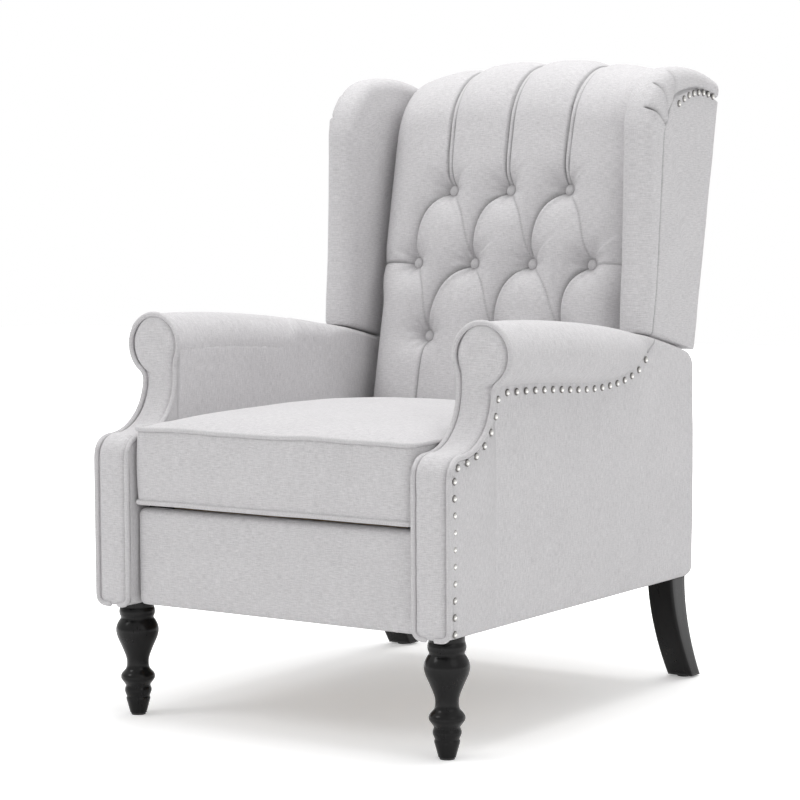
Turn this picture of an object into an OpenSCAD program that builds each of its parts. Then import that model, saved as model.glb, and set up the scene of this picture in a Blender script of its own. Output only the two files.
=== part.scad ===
// A push-back wing recliner: rolled arms, a diamond-tufted back that tips with its wings,
// a boxed seat cushion, and a footrest that folds out on links from under the seat.
// The front faces -Y, X = 0 is the middle and Z = 0 is the floor. Side shapes are drawn as
// [y, z] points about the middle of the seat, and the whole is moved at the end so that
// Y = 0 is the middle of its footprint. Heights are given above the body's underside.

/* [Body] */
// Height of the body's underside above the floor
body_z = 177; // [150:1:200]
// Front face of the lower arm
front_y = -450; // [-460:1:-440]
// Rear end of the arms
rear_y = 288; // [280:1:300]
// Half of the room between the arms
arm_inner = 258; // [250:1:275]

/* [Arms] */
// Thickness of the arm panel
arm_t = 61; // [56:1:70]
// Height of the arm's top at the front, above the underside
arm_h = 439; // [432:1:450]
// How far the arm's top falls towards the rear
arm_drop = 77; // [60:1:85]
// Front face of the arm roll
roll_front = -332; // [-340:1:-322]
// Radius of the arm roll
roll_r = 48; // [44:1:50]
// Where the roll starts to run out towards the rear
roll_fade = -110; // [-130:1:-90]
// Where the roll has run out
roll_end = 140; // [132:1:150]
// Radius of the hollow sweep under the roll's face
neck_r = 88; // [80:1:94]
// Radius of the shoulder below the sweep
shoulder_r = 28; // [20:1:34]
// Drop from the arm's top to its shoulder
shoulder_drop = 184; // [177:1:194]
// Thickness of the padded facing on the arm's front
facing_t = 8; // [6:1:12]
// Thickness of the padding over the arm's wooden frame
padding_t = 10; // [8:1:12]
// Width of the wooden rails and posts in the arm
rail_w = 60; // [45:1:70]
// Thickness of the fabric panel across the rear
rear_panel_t = 6; // [4:1:8]

/* [Nails] */
// Radius of a nail head
nail_r = 5.5; // [4:0.5:6.5]
// Height of a nail head
nail_h = 3; // [2:0.5:4]
// Spacing of the nails
nail_pitch = 25; // [20:1:32]
// Distance of the nail row from the arm's front edge
nail_inset = 12; // [10:1:16]

/* [Legs] */
// Distance of the front legs' axis from the front face
leg_inset = 47; // [40:1:60]
// Radius of the front leg's widest bulb
bulb_r = 33; // [30:1:36]
// Width of the square rear leg
rear_leg_w = 46; // [38:1:50]
// Depth of the rear leg at its top
rear_leg_d = 50; // [44:1:56]
// Depth of the rear leg at its foot
rear_foot_d = 32; // [28:1:40]
// How far the rear leg sweeps back
rear_leg_sweep = 64; // [40:1:75]
// Height of the glides under the legs
glide_h = 3; // [2:0.5:5]
// Radius of the glides
glide_r = 11; // [8:0.5:12]
// Radius of the bolts that hold the legs
leg_bolt_r = 4; // [3:0.5:5]
// Depth of each leg bolt in the wood, up and down
leg_bolt_depth = 34; // [25:1:45]

/* [Links] */
// Thickness of the steel plates and links
plate_t = 3; // [2.5:0.1:3.1]
// Free gap between neighbouring plates
plate_gap = 1.2; // [1:0.1:1.4]
// Gap between the fixed plate and the arm
side_gap = 0.3; // [0.2:0.1:0.5]
// Radius of the rivets
pin_r = 4; // [3:0.5:4.5]
// Radial clearance of a rivet in its hole
pin_clear = 0.05; // [0.02:0.01:0.09]
// Radial clearance where a loop of links closes
loop_clear = 0.3; // [0.1:0.05:0.5]
// Radius of the round end of a link
eye_r = 9; // [8:0.5:9.5]
// Width of a link between its ends
bar_w = 15; // [12:1:17]
// Largest tip of the back, in degrees
recline_max = 30; // [20:1:32]
// Turn of the footrest links for each degree of the back
lift_ratio = 3; // [2.5:0.1:3]
// Back pivot, distance behind the middle
back_pivot_y = 235; // [228:1:240]
// Back pivot, height above the underside
back_pivot_h = 273; // [266:1:276]
// Crank from the back pivot to the seat's rear pivot, rearward part
crank_y = -12; // [-18:1:-6]
// Height of the seat's rear pivot above the underside
seat_pivot_h = 135; // [133:1:141]
// Fixed pivot of the seat's front hanger
hanger_y = -8; // [-16:1:0]
// Height of that pivot above the underside
hanger_h = 148; // [146:1:150]
// Pivot of the main links on the seat, distance
main_y = -330; // [-334:1:-326]
// Pivots of the footrest links on the seat, height above the underside
main_h = 141; // [138:1:143]
// Reach of the main link, rearward
reach_y = 95; // [92:1:98]
// Reach of the main link, upward
reach_z = -133; // [-134:1:-128]
// Distance of the upper link's pivots ahead of the main link's
upper_gap = 40; // [38:1:42]
// Distance of the stay link's pivots ahead of the lift link's
stay_gap = 2; // [0:1:4]
// Rise of the stay link's pivots above the lift link's
stay_rise = 38; // [36:1:38]
// Footrest pivot, distance behind the rear of its board
rest_pivot_gap = 37; // [34:1:38]
// Footrest pivot, height above the underside
rest_pivot_h = 107; // [104:1:108]
// Length of the arm that carries the guide roller
roller_arm = 60; // [54:1:64]
// Radius of the guide roller
roller_r = 6; // [5:0.5:6.5]
// Radius of the tube that joins the main links
tube_r = 8; // [6:0.5:10]
// Wall of that tube
tube_wall = 1.5; // [1:0.1:2.5]
// Place of the tube along the main link, as a share of its reach
tube_share = 0.8; // [0.7:0.05:0.85]
// Radius of the bolts that hold the fixed plates
bolt_r = 3; // [2.5:0.5:3.5]

/* [Seat] */
// Gap between the seat cushion and each arm
cushion_gap = 4.5; // [4:0.5:8]
// Front of the seat cushion
cushion_front = -442; // [-448:1:-436]
// Rear of the seat cushion
cushion_rear = 108; // [96:1:112]
// Height of the cushion's underside above the body's underside
cushion_h = 157; // [156:1:162]
// Height of the cushion's boxing
cushion_t = 114; // [100:1:122]
// Rise of the crown above the boxing
cushion_crown = 24; // [16:1:30]
// How far the cushion's sides draw in
cushion_draw = 5; // [2:1:8]
// Width of the wood in the seat frame
seat_rail = 26; // [20:1:32]
// Front of the seat frame
seat_frame_front = -392; // [-393:1:-380]
// Rear of the seat frame
seat_frame_rear = 188; // [180:1:192]
// Height of the seat frame
seat_frame_h = 62; // [50:1:64]
// Thickness of the deck cloth
deck_t = 3.5; // [2:0.5:3.5]
// Half the thickness of the spring wire
spring_r = 1.7; // [1.4:0.1:1.9]
// Number of seat springs
spring_count = 4; // [3:1:5]

/* [Footrest] */
// Thickness of the footrest's wooden board
board_t = 12; // [9:1:15]
// Thickness of the padding in front of the board
pad_t = 28; // [22:1:30]
// Gap between the footrest and each arm
rest_gap = 4; // [3.5:0.5:8]
// Height of the footrest
rest_h = 148; // [140:1:149]
// Rise of the pad's crown
rest_crown = 5; // [2:1:6]

/* [Back] */
// Lean of the back at rest, in degrees
lean = 11.5; // [10:0.5:13]
// Foot of the back's rear plane
back_foot_y = 254; // [252:1:258]
// Height of that foot above the body's underside
back_foot_h = 163; // [160:1:168]
// Height of the back at its middle, along its lean
back_len = 695; // [670:1:700]
// Height of the back's shoulders below its middle, along its lean
back_shoulder = 34; // [24:1:44]
// Thickness of the back's wooden frame
frame_t = 25; // [20:1:28]
// Width of the frame's stiles
stile_w = 30; // [26:1:36]
// Distance of the crown of the padding from the rear plane
crown_n = 141; // [136:1:146]
// Distance of the bottoms of the tufts from the rear plane
tuft_n = 112; // [106:1:116]
// Gap between the padding and the inner face of each arm
back_gap = 12; // [10:1:18]
// Height of the lowest row of buttons, along the lean
row_low = 204; // [196:1:212]
// Spacing of the button rows
row_pitch = 124.5; // [118:0.5:130]
// Spacing of the buttons in a row, as a share of the padding's half width
button_share = 0.46; // [0.44:0.01:0.48]
// Radius of a button
button_r = 9.5; // [8:0.5:11]
// Thickness of the panel on the back's outside
outside_t = 3; // [2:0.5:4]

/* [Wings] */
// How far a wing's outer face stands outside the arm's inner face
wing_out = 54; // [50:1:58]
// Front edge of the wings
wing_front = 122; // [116:1:128]
// How far the wing's front edge draws back at half its height
wing_waist = 8; // [0:1:12]
// Radius of the wing's rolled edge
wing_r = 26; // [24:1:28]
// Gap between the arm's top and the wing's lower front corner
wing_gap_front = 7; // [5:1:12]
// Gap between the arm's top and the wing's lower rear corner
wing_gap_rear = 11; // [9:1:16]
// Height of the wing's top at the rear above the underside
wing_top_rear = 802; // [790:1:806]
// Rise of the wing's upper front corner above its top at the rear
wing_rise = 16; // [4:1:20]
// Height of the crown along the wing's top
wing_crown = 10; // [0:1:14]
// Radius of the wing's upper front corner
wing_corner = 95; // [85:1:100]
// Thickness of the board in a wing
wing_board_t = 14; // [10:1:16]

/* [Hidden] */
// Middle of the whole footprint, from the front face to the top of the back
middle_y = (front_y + back_foot_y + back_len * sin(lean)) / 2;
module centred() {
    translate([0, -middle_y, 0]) children();
}
fabric = [0.76, 0.75, 0.76];
fabric_dark = [0.66, 0.65, 0.67];
timber = [0.78, 0.62, 0.42];
black_wood = [0.05, 0.05, 0.055];
steel = [0.2, 0.2, 0.22];
bright_steel = [0.72, 0.73, 0.75];
nickel = [0.8, 0.79, 0.77];
nylon = [0.12, 0.12, 0.12];
fit = 0.3;
circle_fn = 48;

// Arm
arm_outer = arm_inner + arm_t;
arm_run = rear_y - roll_front;
arm_drop_power = 2.2;
arm_frame_in = arm_inner + padding_t;
arm_frame_out = arm_outer - padding_t;
roll_x = arm_inner + roll_r - 5;
roll_top = body_z + arm_h;
shoulder_h = arm_h - shoulder_drop;
neck_z = body_z + shoulder_h + neck_r;
rear_corner_r = 24;
post_z = body_z + shoulder_h - shoulder_r;
side_wall = facing_t + 14;

// Stack of plates, counted inward from the arm
pitch = plate_t + plate_gap;
fixed_x = arm_inner - side_gap - plate_t;
outer_x = fixed_x - pitch;
bracket_x = fixed_x - 2 * pitch;
lift_x = fixed_x - 3 * pitch;
main_x = fixed_x - 4 * pitch;
seat_x = fixed_x - 5 * pitch;

// Pivots as [y, z]
back_pivot = [back_pivot_y, body_z + back_pivot_h];
crank = [crank_y, seat_pivot_h - back_pivot_h];
seat_rear_pivot = back_pivot + crank;
hanger_pivot = [hanger_y, body_z + hanger_h];
seat_front_pivot = hanger_pivot + crank;
main_pivot = [main_y, body_z + main_h];
reach = [reach_y, reach_z];
lift_pivot = main_pivot + reach;
upper_pivot = main_pivot - [upper_gap, 0];
upper_end = lift_pivot - [upper_gap, 0];
stay_step = [-stay_gap, stay_rise];
stay_pivot = lift_pivot + stay_step;
board_rear = front_y + 13 + pad_t + board_t;
rest_pivot = [board_rear + rest_pivot_gap, body_z + rest_pivot_h];
stay_end = rest_pivot + stay_step;
roller_pivot = main_pivot + [roller_arm, 0];
tube_at = main_pivot + tube_share * reach;

// Seat
cushion_half = arm_inner - cushion_gap;
cushion_z = body_z + cushion_h;
seat_frame_top = cushion_z - fit - deck_t - 2 * spring_r - fit;
seat_frame_low = seat_frame_top - seat_frame_h;
rest_half = arm_inner - rest_gap;
rest_low = body_z + 1;

// Back
back_foot = [back_foot_y, body_z + back_foot_h];
back_half = arm_inner - back_gap;
button_pitch = button_share * back_half;
row_mid = row_low + row_pitch;
row_top = row_low + 2 * row_pitch;
frame_top = back_len - 60;
frame_low = 8;
webbing_t = 1.2;
padding_n = frame_t + webbing_t + fit;
wing_outer = arm_inner + wing_out;
wing_seam_n = 100;

// Turns a [y, z] arrow as the back tips
function tipped(a, v) = [v[0] * cos(a) + v[1] * sin(a), v[1] * cos(a) - v[0] * sin(a)];
// A point of the back: x, distance up the lean, distance forward of the rear plane
function on_back(x, u, n) = [x, back_foot[0] + u * sin(lean) - n * cos(lean),
    back_foot[1] + u * cos(lean) + n * sin(lean)];
function up_back(p) = (p[0] - back_foot[0]) * sin(lean) + (p[1] - back_foot[1]) * cos(lean);
function off_back(p) = (back_foot[0] - p[0]) * cos(lean) + (p[1] - back_foot[1]) * sin(lean);
function arc(c, r, a, b, n) = [for (i = [0:n]) let (t = a + (b - a) * i / n)
    [c[0] + r * cos(t), c[1] + r * sin(t)]];
function mix(a, b, t) = a + (b - a) * t;
function clamp(v, low, high) = min(max(v, low), high);
function ease(t) = let (s = clamp(t, 0, 1)) s * s * (3 - 2 * s);

// Height of the arm's top, and of the flat panel below the roll
function arm_top(y) = roll_top - arm_drop * pow(clamp((y - roll_front) / arm_run, 0, 1),
    arm_drop_power);
function roll_fall(y) = clamp((y - roll_fade) / (roll_end - roll_fade), 0, 1);
function roll_size(y) = max(roll_r * sqrt(1 - pow(roll_fall(y), 2)), 8);
function panel_top(y) = arm_top(y) - roll_r * (1 - ease(roll_fall(y)));

// Front edge of the arm at a depth inside its face, from the roll down
function arm_front(depth) = let (hollow = [roll_front - neck_r, neck_z],
        knee = [front_y + shoulder_r, post_z])
    concat(arc(hollow, neck_r + depth, 0, -90, 14),
        arc(knee, shoulder_r - depth, 90, 180, 8));

// Solid skin over closed rings of points, with flat ends
module skin(rings) {
    n = len(rings[0]);
    m = len(rings);
    points = [for (ring = rings) each ring];
    sides = [for (i = [0:m - 2], j = [0:n - 1]) let (a = i * n + j, b = i * n + (j + 1) % n)
        each [[a, b, b + n], [a, b + n, a + n]]];
    low = [for (j = [n - 1:-1:0]) j];
    high = [for (j = [0:n - 1]) (m - 1) * n + j];
    polyhedron(points, concat([low], sides, [high]), convexity = 6);
}

// Extrudes a shape drawn as [y, z] along X, from x0 outwards
module side_slab(x0, t) {
    translate([x0, 0, 0]) rotate([90, 0, 90]) linear_extrude(t) children();
}

// A round bar along X at a [y, z] point
module cross_bar(p, x0, x1, r) {
    translate([x0, p[0], p[1]]) rotate([0, 90, 0]) cylinder(h = x1 - x0, r = r, $fn = circle_fn);
}

module eye(p, r) {
    translate(p) circle(r = r, $fn = circle_fn);
}

module bar_between(a, b, w) {
    d = b - a;
    translate(a) rotate(atan2(d[1], d[0])) translate([0, -w / 2]) square([norm(d), w]);
}

// A flat link through a chain of points, with round eyes
module link_shape(points, holes, clear) {
    difference() {
        union() {
            for (p = points) eye(p, eye_r);
            for (i = [0:len(points) - 2]) bar_between(points[i], points[i + 1], bar_w);
        }
        for (i = [0:len(holes) - 1]) eye(holes[i], pin_r + clear[i]);
    }
}

module mirrored(left) {
    mirror([left ? 1 : 0, 0, 0]) children();
}

module both_sides() {
    children();
    mirror([1, 0, 0]) children();
}

// Arm: outline of the padded panel
function top_line(n) = [for (i = [0:n]) let (y = mix(rear_y - rear_corner_r, roll_front + facing_t,
    i / n)) [y, panel_top(y)]];
module arm_panel_shape(depth) {
    corner = [rear_y - rear_corner_r, arm_top(rear_y) - rear_corner_r];
    polygon(concat([[front_y + depth, body_z], [rear_y, body_z]],
        arc(corner, rear_corner_r, 0, 90, 8), top_line(24), arm_front(depth)));
}

module arm_frame_shape(grow) {
    polygon([[front_y + side_wall - grow, body_z - grow], [rear_y - 12 + grow, body_z - grow],
        [rear_y - 12 + grow, arm_top(rear_y) - 34 + grow],
        [roll_front + 14 - grow, neck_z + 20 + grow], [roll_front + 14 - grow, neck_z - 52],
        [roll_front - 13 - grow, neck_z - 82 + grow],
        [front_y + 50 - grow, post_z + 8 + grow], [front_y + side_wall - grow, post_z + grow]]);
}

module arm_frame_window() {
    back = rear_y - 12 - rail_w;
    polygon([[front_y + side_wall + rail_w, body_z + rail_w], [back, body_z + rail_w],
        [back, arm_top(rear_y) - 34 - rail_w * 0.8], [roll_front + 14 + rail_w, neck_z - 44],
        [roll_front + 14 + rail_w, neck_z - 70], [front_y + side_wall + rail_w, post_z - 30]]);
}

function leg_place() = [arm_inner + arm_t / 2 - 4, front_y + leg_inset];
function rear_leg_place() = [arm_inner + rear_leg_w / 2, rear_y - 2 - rear_leg_d / 2];
function plate_bolts() = [[front_y + side_wall + 32, body_z + 78], [-225, body_z + 42],
    [90, body_z + 42], [rear_y - 48, body_z + 85], [rear_y - 50, back_pivot[1] - 50]];

module leg_bores(grow) {
    for (p = [leg_place(), rear_leg_place()])
        translate([p[0], p[1], body_z - leg_bolt_depth])
            cylinder(h = 2 * leg_bolt_depth, r = leg_bolt_r + grow, $fn = circle_fn);
}

module arm_frame(left) {
    color(timber) mirrored(left) difference() {
        side_slab(arm_frame_in, arm_frame_out - arm_frame_in) difference() {
            arm_frame_shape(0);
            arm_frame_window();
        }
        leg_bores(pin_clear);
        for (p = plate_bolts())
            cross_bar(p, arm_frame_in - 1, arm_frame_in + 26, bolt_r + pin_clear);
    }
}

module arm_roll() {
    first = roll_front + facing_t;
    last = roll_end - 2;
    n = 22;
    skin([for (i = [0:n]) let (y = mix(first, last, i / n), r = roll_size(y))
        [for (k = [0:23]) [roll_x - r * sin(k * 15), y, arm_top(y) - r + r * cos(k * 15)]]]);
}

module arm_cover(left) {
    color(fabric) mirrored(left) difference() {
        union() {
            side_slab(arm_inner, arm_t) arm_panel_shape(facing_t);
            arm_roll();
        }
        side_slab(arm_frame_in - fit, arm_frame_out - arm_frame_in + 2 * fit) arm_frame_shape(fit);
        for (p = plate_bolts()) cross_bar(p, arm_inner - 1, arm_frame_in, bolt_r + fit);
    }
}

module arm_facing(left) {
    color(fabric) mirrored(left) {
        side_slab(arm_inner, arm_t) polygon(concat([[front_y, body_z]],
            [for (i = [len(arm_front(0)) - 1:-1:0]) arm_front(0)[i]],
            [[roll_front, roll_top - roll_r], [roll_front + facing_t, roll_top - roll_r]],
            arm_front(facing_t), [[front_y + facing_t, body_z]]));
        translate([roll_x, roll_front, roll_top - roll_r]) rotate([-90, 0, 0])
            cylinder(h = facing_t, r = roll_r, $fn = 64);
    }
}

// Nail head: a low dome on a flat outer face that looks along +X
module nail(x, p) {
    translate([x, p[0], p[1]]) rotate([0, 90, 0]) rotate_extrude($fn = 16)
        polygon([[0, 0], [nail_r, 0], [nail_r * 0.86, nail_h * 0.55], [nail_r * 0.5, nail_h * 0.9],
            [0, nail_h]]);
}

function steps_along(length) = max(round(length / nail_pitch), 1);
function front_nails() = let (n = steps_along(post_z - body_z - 10))
    [for (i = [0:n]) [front_y + nail_inset, body_z + 9 + (post_z - body_z - 13) * i / n]];
function knee_nails() = [[front_y + nail_inset + 9, post_z + nail_inset + 2]];
function sweep_nails() = let (c = [roll_front - neck_r, neck_z], r = neck_r + nail_inset - 2)
    arc(c, r, -81, -8, 5);
// The line where the roll meets the flat panel, with room for a nail below it
function roll_seam(y) = let (r = roll_size(y), reach = arm_outer - roll_x)
    arm_top(y) - r - sqrt(max(r * r - reach * reach, 0)) - nail_r - 3.5;
function under_nails() = let (y0 = roll_front + 34, y1 = roll_end - 24,
        n = steps_along(y1 - y0 + 20))
    [for (i = [0:n]) let (t = i / n, y = mix(y0, y1, t * (1.08 - 0.08 * t))) [y, roll_seam(y)]];
module arm_nails(left) {
    color(nickel) mirrored(left)
        for (p = concat(front_nails(), knee_nails(), sweep_nails(), under_nails()))
            nail(arm_outer, p);
}

// Cross pieces of the base
stretcher_h = 23;
stretcher_d = 50;
stretcher_ahead = 167;
module front_stretcher() {
    color(timber) translate([-arm_inner, hanger_y - stretcher_ahead, body_z])
        cube([2 * arm_inner, stretcher_d, stretcher_h]);
}

rear_rail_h = 110;
rear_rail_t = 20;
rear_panel_h = 223;
module rear_rail() {
    color(timber) translate([-arm_inner, rear_y - rear_panel_t - rear_rail_t, body_z + 12])
        cube([2 * arm_inner, rear_rail_t, rear_rail_h]);
}

module rear_panel() {
    color(fabric) translate([-arm_inner, rear_y - rear_panel_t, body_z])
        cube([2 * arm_inner, rear_panel_t, rear_panel_h]);
}

// Path of the guide roller in the fixed plate as the back tips by a degrees
function roller_at(a) = main_pivot + tipped(a, crank) - crank
    + tipped(lift_ratio * a, [roller_arm, 0]);
guide_steps = 20;
guide_clear = 0.5;
guide_path = [for (i = [0:guide_steps]) roller_at(recline_max * i / guide_steps)];
function guide_way(i) = let (d = guide_path[min(i + 1, guide_steps)] - guide_path[max(i - 1, 0)])
    d / norm(d);
function guide_side(r) = [for (i = [0:guide_steps]) let (d = guide_way(i))
    guide_path[i] + r * [-d[1], d[0]]];
module guide_slot(r) {
    left_side = guide_side(r);
    right_side = guide_side(-r);
    start = atan2(guide_way(0)[1], guide_way(0)[0]);
    stop = atan2(guide_way(guide_steps)[1], guide_way(guide_steps)[0]);
    polygon(concat(left_side, arc(guide_path[guide_steps], r, stop + 75, stop - 75, 5),
        [for (i = [guide_steps:-1:0]) right_side[i]], arc(guide_path[0], r, start - 105, start - 255, 5)));
}

// Fixed plate on the arm: guide slot in front, hanger pivot and back pivot behind
plate_top = hanger_pivot[1] + eye_r;
plate_low = body_z + stretcher_h + 5;
lug_r = eye_r + 4;
head_t = 1.5;
module base_plate_shape() {
    ahead = min([for (p = guide_path) p[0]]) - 14;
    back = rear_y - 30;
    g = back_pivot;
    polygon([[ahead, body_z + 86], [ahead + 16, body_z + 62], [-230, plate_low],
        [200, plate_low], [back, body_z + 60], [back, plate_top + 10], [g[0] + lug_r, g[1]],
        [g[0] - lug_r, g[1]], [g[0] - 46, plate_top + 12], [g[0] - 90, plate_top],
        [40, plate_top], [22, plate_top - 34], [-38, plate_top - 34], [-56, plate_top],
        [ahead + 18, plate_top], [ahead, plate_top - 16]]);
    eye(g, lug_r);
    eye(hanger_pivot, lug_r);
    bar_between(hanger_pivot, hanger_pivot - [0, 60], 2 * lug_r);
}

module base_plate(left) {
    color(steel) mirrored(left) difference() {
        side_slab(fixed_x, plate_t) difference() {
            base_plate_shape();
            guide_slot(roller_r + guide_clear);
            eye(hanger_pivot, pin_r + fit / 10);
            eye(back_pivot, pin_r + fit / 10);
            for (p = plate_bolts()) eye(p, bolt_r + fit / 10);
        }
        for (p = plate_bolts())
            cross_bar(p, fixed_x - 1, fixed_x + head_t, 2 * bolt_r + fit / 10);
    }
}

// Countersunk bolts, flush with the fixed plates
module base_plate_bolts() {
    color(bright_steel) both_sides() for (p = plate_bolts()) {
        cross_bar(p, fixed_x, arm_frame_in + 24, bolt_r);
        cross_bar(p, fixed_x, fixed_x + head_t, 2 * bolt_r);
    }
}

// Rivets fixed in the plates of the base
module base_pivot_pins() {
    color(bright_steel) both_sides() for (p = [back_pivot, hanger_pivot])
        cross_bar(p, outer_x, arm_inner - side_gap, pin_r);
}

// Turned front leg: foot, beads, a ring, a waist and a wide bulb under a collar
function turned_leg() = let (k = body_z / 177) [[0, glide_h], [13, glide_h], [14, 8 * k],
    [18.5, 25 * k], [17.6, 29 * k], [18.4, 31 * k], [20.3, 36 * k], [20.3, 42 * k],
    [18.8, 46 * k], [20.5, 49 * k], [25.4, 56 * k], [26.2, 60 * k], [25, 64 * k],
    [18.5, 72 * k], [16.9, 80 * k], [17.4, 88 * k], [20.4, 97 * k], [25.4, 109 * k],
    [30.4, 120 * k], [bulb_r - 0.5, 128 * k], [bulb_r, 134 * k], [bulb_r - 1.5, 140 * k],
    [29.4, 145 * k], [26, 150 * k], [25.4, 153 * k], [27.2, 157 * k], [27.8, 162 * k],
    [26.6, 167 * k], [26, 170 * k], [26, body_z], [0, body_z]];
module front_leg(left) {
    p = leg_place();
    color(black_wood) mirrored(left) difference() {
        translate([p[0], p[1], 0]) rotate_extrude($fn = 64) polygon(turned_leg());
        leg_bores(pin_clear);
    }
}

// Sabre rear leg, square in section and swept back towards the floor
function sweep_back(t) = rear_leg_sweep * pow(t, 1.8);
module rear_leg(left) {
    p = rear_leg_place();
    n = 10;
    fall = body_z - glide_h;
    front = [for (i = [0:n]) let (t = i / n) [p[1] + sweep_back(t)
        - mix(rear_leg_d, rear_foot_d, t) / 2, body_z - fall * t]];
    rear = [for (i = [n:-1:0]) let (t = i / n) [p[1] + sweep_back(t)
        + mix(rear_leg_d, rear_foot_d, t) / 2, body_z - fall * t]];
    color(black_wood) mirrored(left) difference() {
        side_slab(p[0] - rear_leg_w / 2, rear_leg_w) polygon(concat(front, rear));
        leg_bores(pin_clear);
    }
}

module leg_bolts() {
    color(bright_steel) both_sides() for (p = [leg_place(), rear_leg_place()])
        translate([p[0], p[1], body_z - leg_bolt_depth + 1])
            cylinder(h = 2 * leg_bolt_depth - 2, r = leg_bolt_r, $fn = circle_fn);
}

module leg_glides() {
    rear = rear_leg_place();
    color(nylon) both_sides() for (p = [leg_place(), [rear[0], rear[1] + rear_leg_sweep]])
        translate([p[0], p[1], 0]) cylinder(h = glide_h, r = glide_r, $fn = circle_fn);
}

// Links between the base, the seat and the back
module seat_hanger(left) {
    color(steel) mirrored(left) side_slab(outer_x, plate_t)
        link_shape([hanger_pivot, seat_front_pivot], [hanger_pivot, seat_front_pivot],
            [pin_clear, loop_clear]);
}

module lean_frame() {
    translate([0, back_foot[0], back_foot[1]]) rotate([-lean, 0, 0]) children();
}

// A box fixed to the back: u up the lean, n forward of the rear plane
module back_box(x0, x1, u0, u1, n0, n1) {
    lean_frame() translate([x0, -n1, u0]) cube([x1 - x0, n1 - n0, u1 - u0]);
}

stile_x = outer_x;
reach_out_x = wing_outer - 34;
rail_rows = [[frame_low, 58], [300, 344], [frame_top - 46, frame_top]];
module back_frame() {
    color(timber) {
        both_sides() back_box(stile_x - stile_w, stile_x, frame_low, frame_top, 0, frame_t);
        for (r = rail_rows)
            back_box(stile_w - stile_x, stile_x - stile_w, r[0], r[1], 0, frame_t);
        both_sides() for (i = [1, 2])
            back_box(stile_x, reach_out_x, rail_rows[i][0], rail_rows[i][0] + 44, 0, frame_t);
    }
}

module back_webbing() {
    rows = 6;
    color(black_wood) for (i = [0:rows - 1])
        back_box(12 - stile_x, stile_x - 12, mix(70, frame_top - 60, i / (rows - 1)),
            mix(70, frame_top - 60, i / (rows - 1)) + 50, frame_t, frame_t + webbing_t);
}

// Plate on each stile of the back, down to the pivot and to the seat's rear rivet
module back_bracket(left) {
    g = back_pivot;
    b = seat_rear_pivot;
    low = on_back(0, 26, frame_t / 2);
    high = on_back(0, 190, frame_t / 2);
    lp = [low[1], low[2]];
    hp = [high[1], high[2]];
    color(steel) mirrored(left) side_slab(outer_x, plate_t) difference() {
        union() {
            eye(g, lug_r);
            eye(b, eye_r);
            polygon([b + [-eye_r + 1.5, 3], b + [eye_r - 2, -3], lp + [10, -4], hp + [10, -3],
                hp + [6, 6], hp + [-9, 4], g + [-lug_r + 2, 4]]);
        }
        eye(g, pin_r + pin_clear);
        eye(b, pin_r + pin_clear);
        for (u = [60, 110, 160]) let (q = on_back(0, u, frame_t / 2))
            eye([q[1], q[2]], bolt_r);
    }
}

// Tufted padding of the back, with pits under the buttons, pleats and channels
step_x = button_pitch / 6;
step_u = row_pitch / 6;
low_pitch = 7 * step_x;
function button_rows() = [for (i = [-1:1]) [i * button_pitch, row_top],
    for (i = [-1.5:1:1.5]) [i * button_pitch, row_mid],
    for (i = [-1:1]) [i * low_pitch, row_low]];
function pleats() = concat(
    [for (x = [-1:1], s = [-0.5, 0.5]) [[x * button_pitch, row_top],
        [(x + s) * button_pitch, row_mid]]],
    [for (x = [-1:1], s = [-0.5, 0.5]) [[x * low_pitch, row_low],
        [(x + s) * button_pitch, row_mid]]],
    [for (x = [-1:1]) [[x * button_pitch, row_top], [x * button_pitch * 1.05, back_len]]],
    [for (x = [-1:1]) [[x * low_pitch, row_low], [x * low_pitch, 0]]],
    [for (s = [-1, 1]) [[s * 1.5 * button_pitch, row_mid], [s * 2.2 * button_pitch, row_top]]],
    [for (s = [-1, 1]) [[s * 1.5 * button_pitch, row_mid], [s * 2.2 * button_pitch, row_low]]]);
function line_gap(p, a, b) = let (d = b - a, t = clamp(((p - a) * d) / (d * d), 0, 1))
    norm(p - a - t * d);
function pit(p) = max([for (b = button_rows()) let (r = max(norm(p - b) - 20, 0) / 22)
    exp(-r * r)]);
function pleat(p) = max([for (l = pleats()) let (r = line_gap(p, l[0], l[1]) / 13)
    exp(-r * r)]);
function padding_top(x) = back_len - back_shoulder * pow(abs(x) / back_half, 2.4);
function padding_face(x, u) = let (p = [x, u], full = crown_n - 22 * ease((60 - u) / 70),
    side = sqrt(1 - pow(min(abs(x) / (back_half + 2), 1), 7)), pits = pit(p),
    soft = full - padding_n - 12 * pleat(p))
    mix(padding_n + soft * side, tuft_n, pits);
round_u = 125;
rows_up = floor((back_len - round_u - row_low) / step_u);
rows_down = floor((row_low - frame_low - 6) / step_u);
row_last = row_low + rows_up * step_u;
// Height of a row at x: rows above the top buttons follow the outline of the back
function row_at(x, u) = u <= row_top ? u : row_top + (u - row_top)
    * (padding_top(x) - round_u - row_top) / (row_last - row_top);
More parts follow.
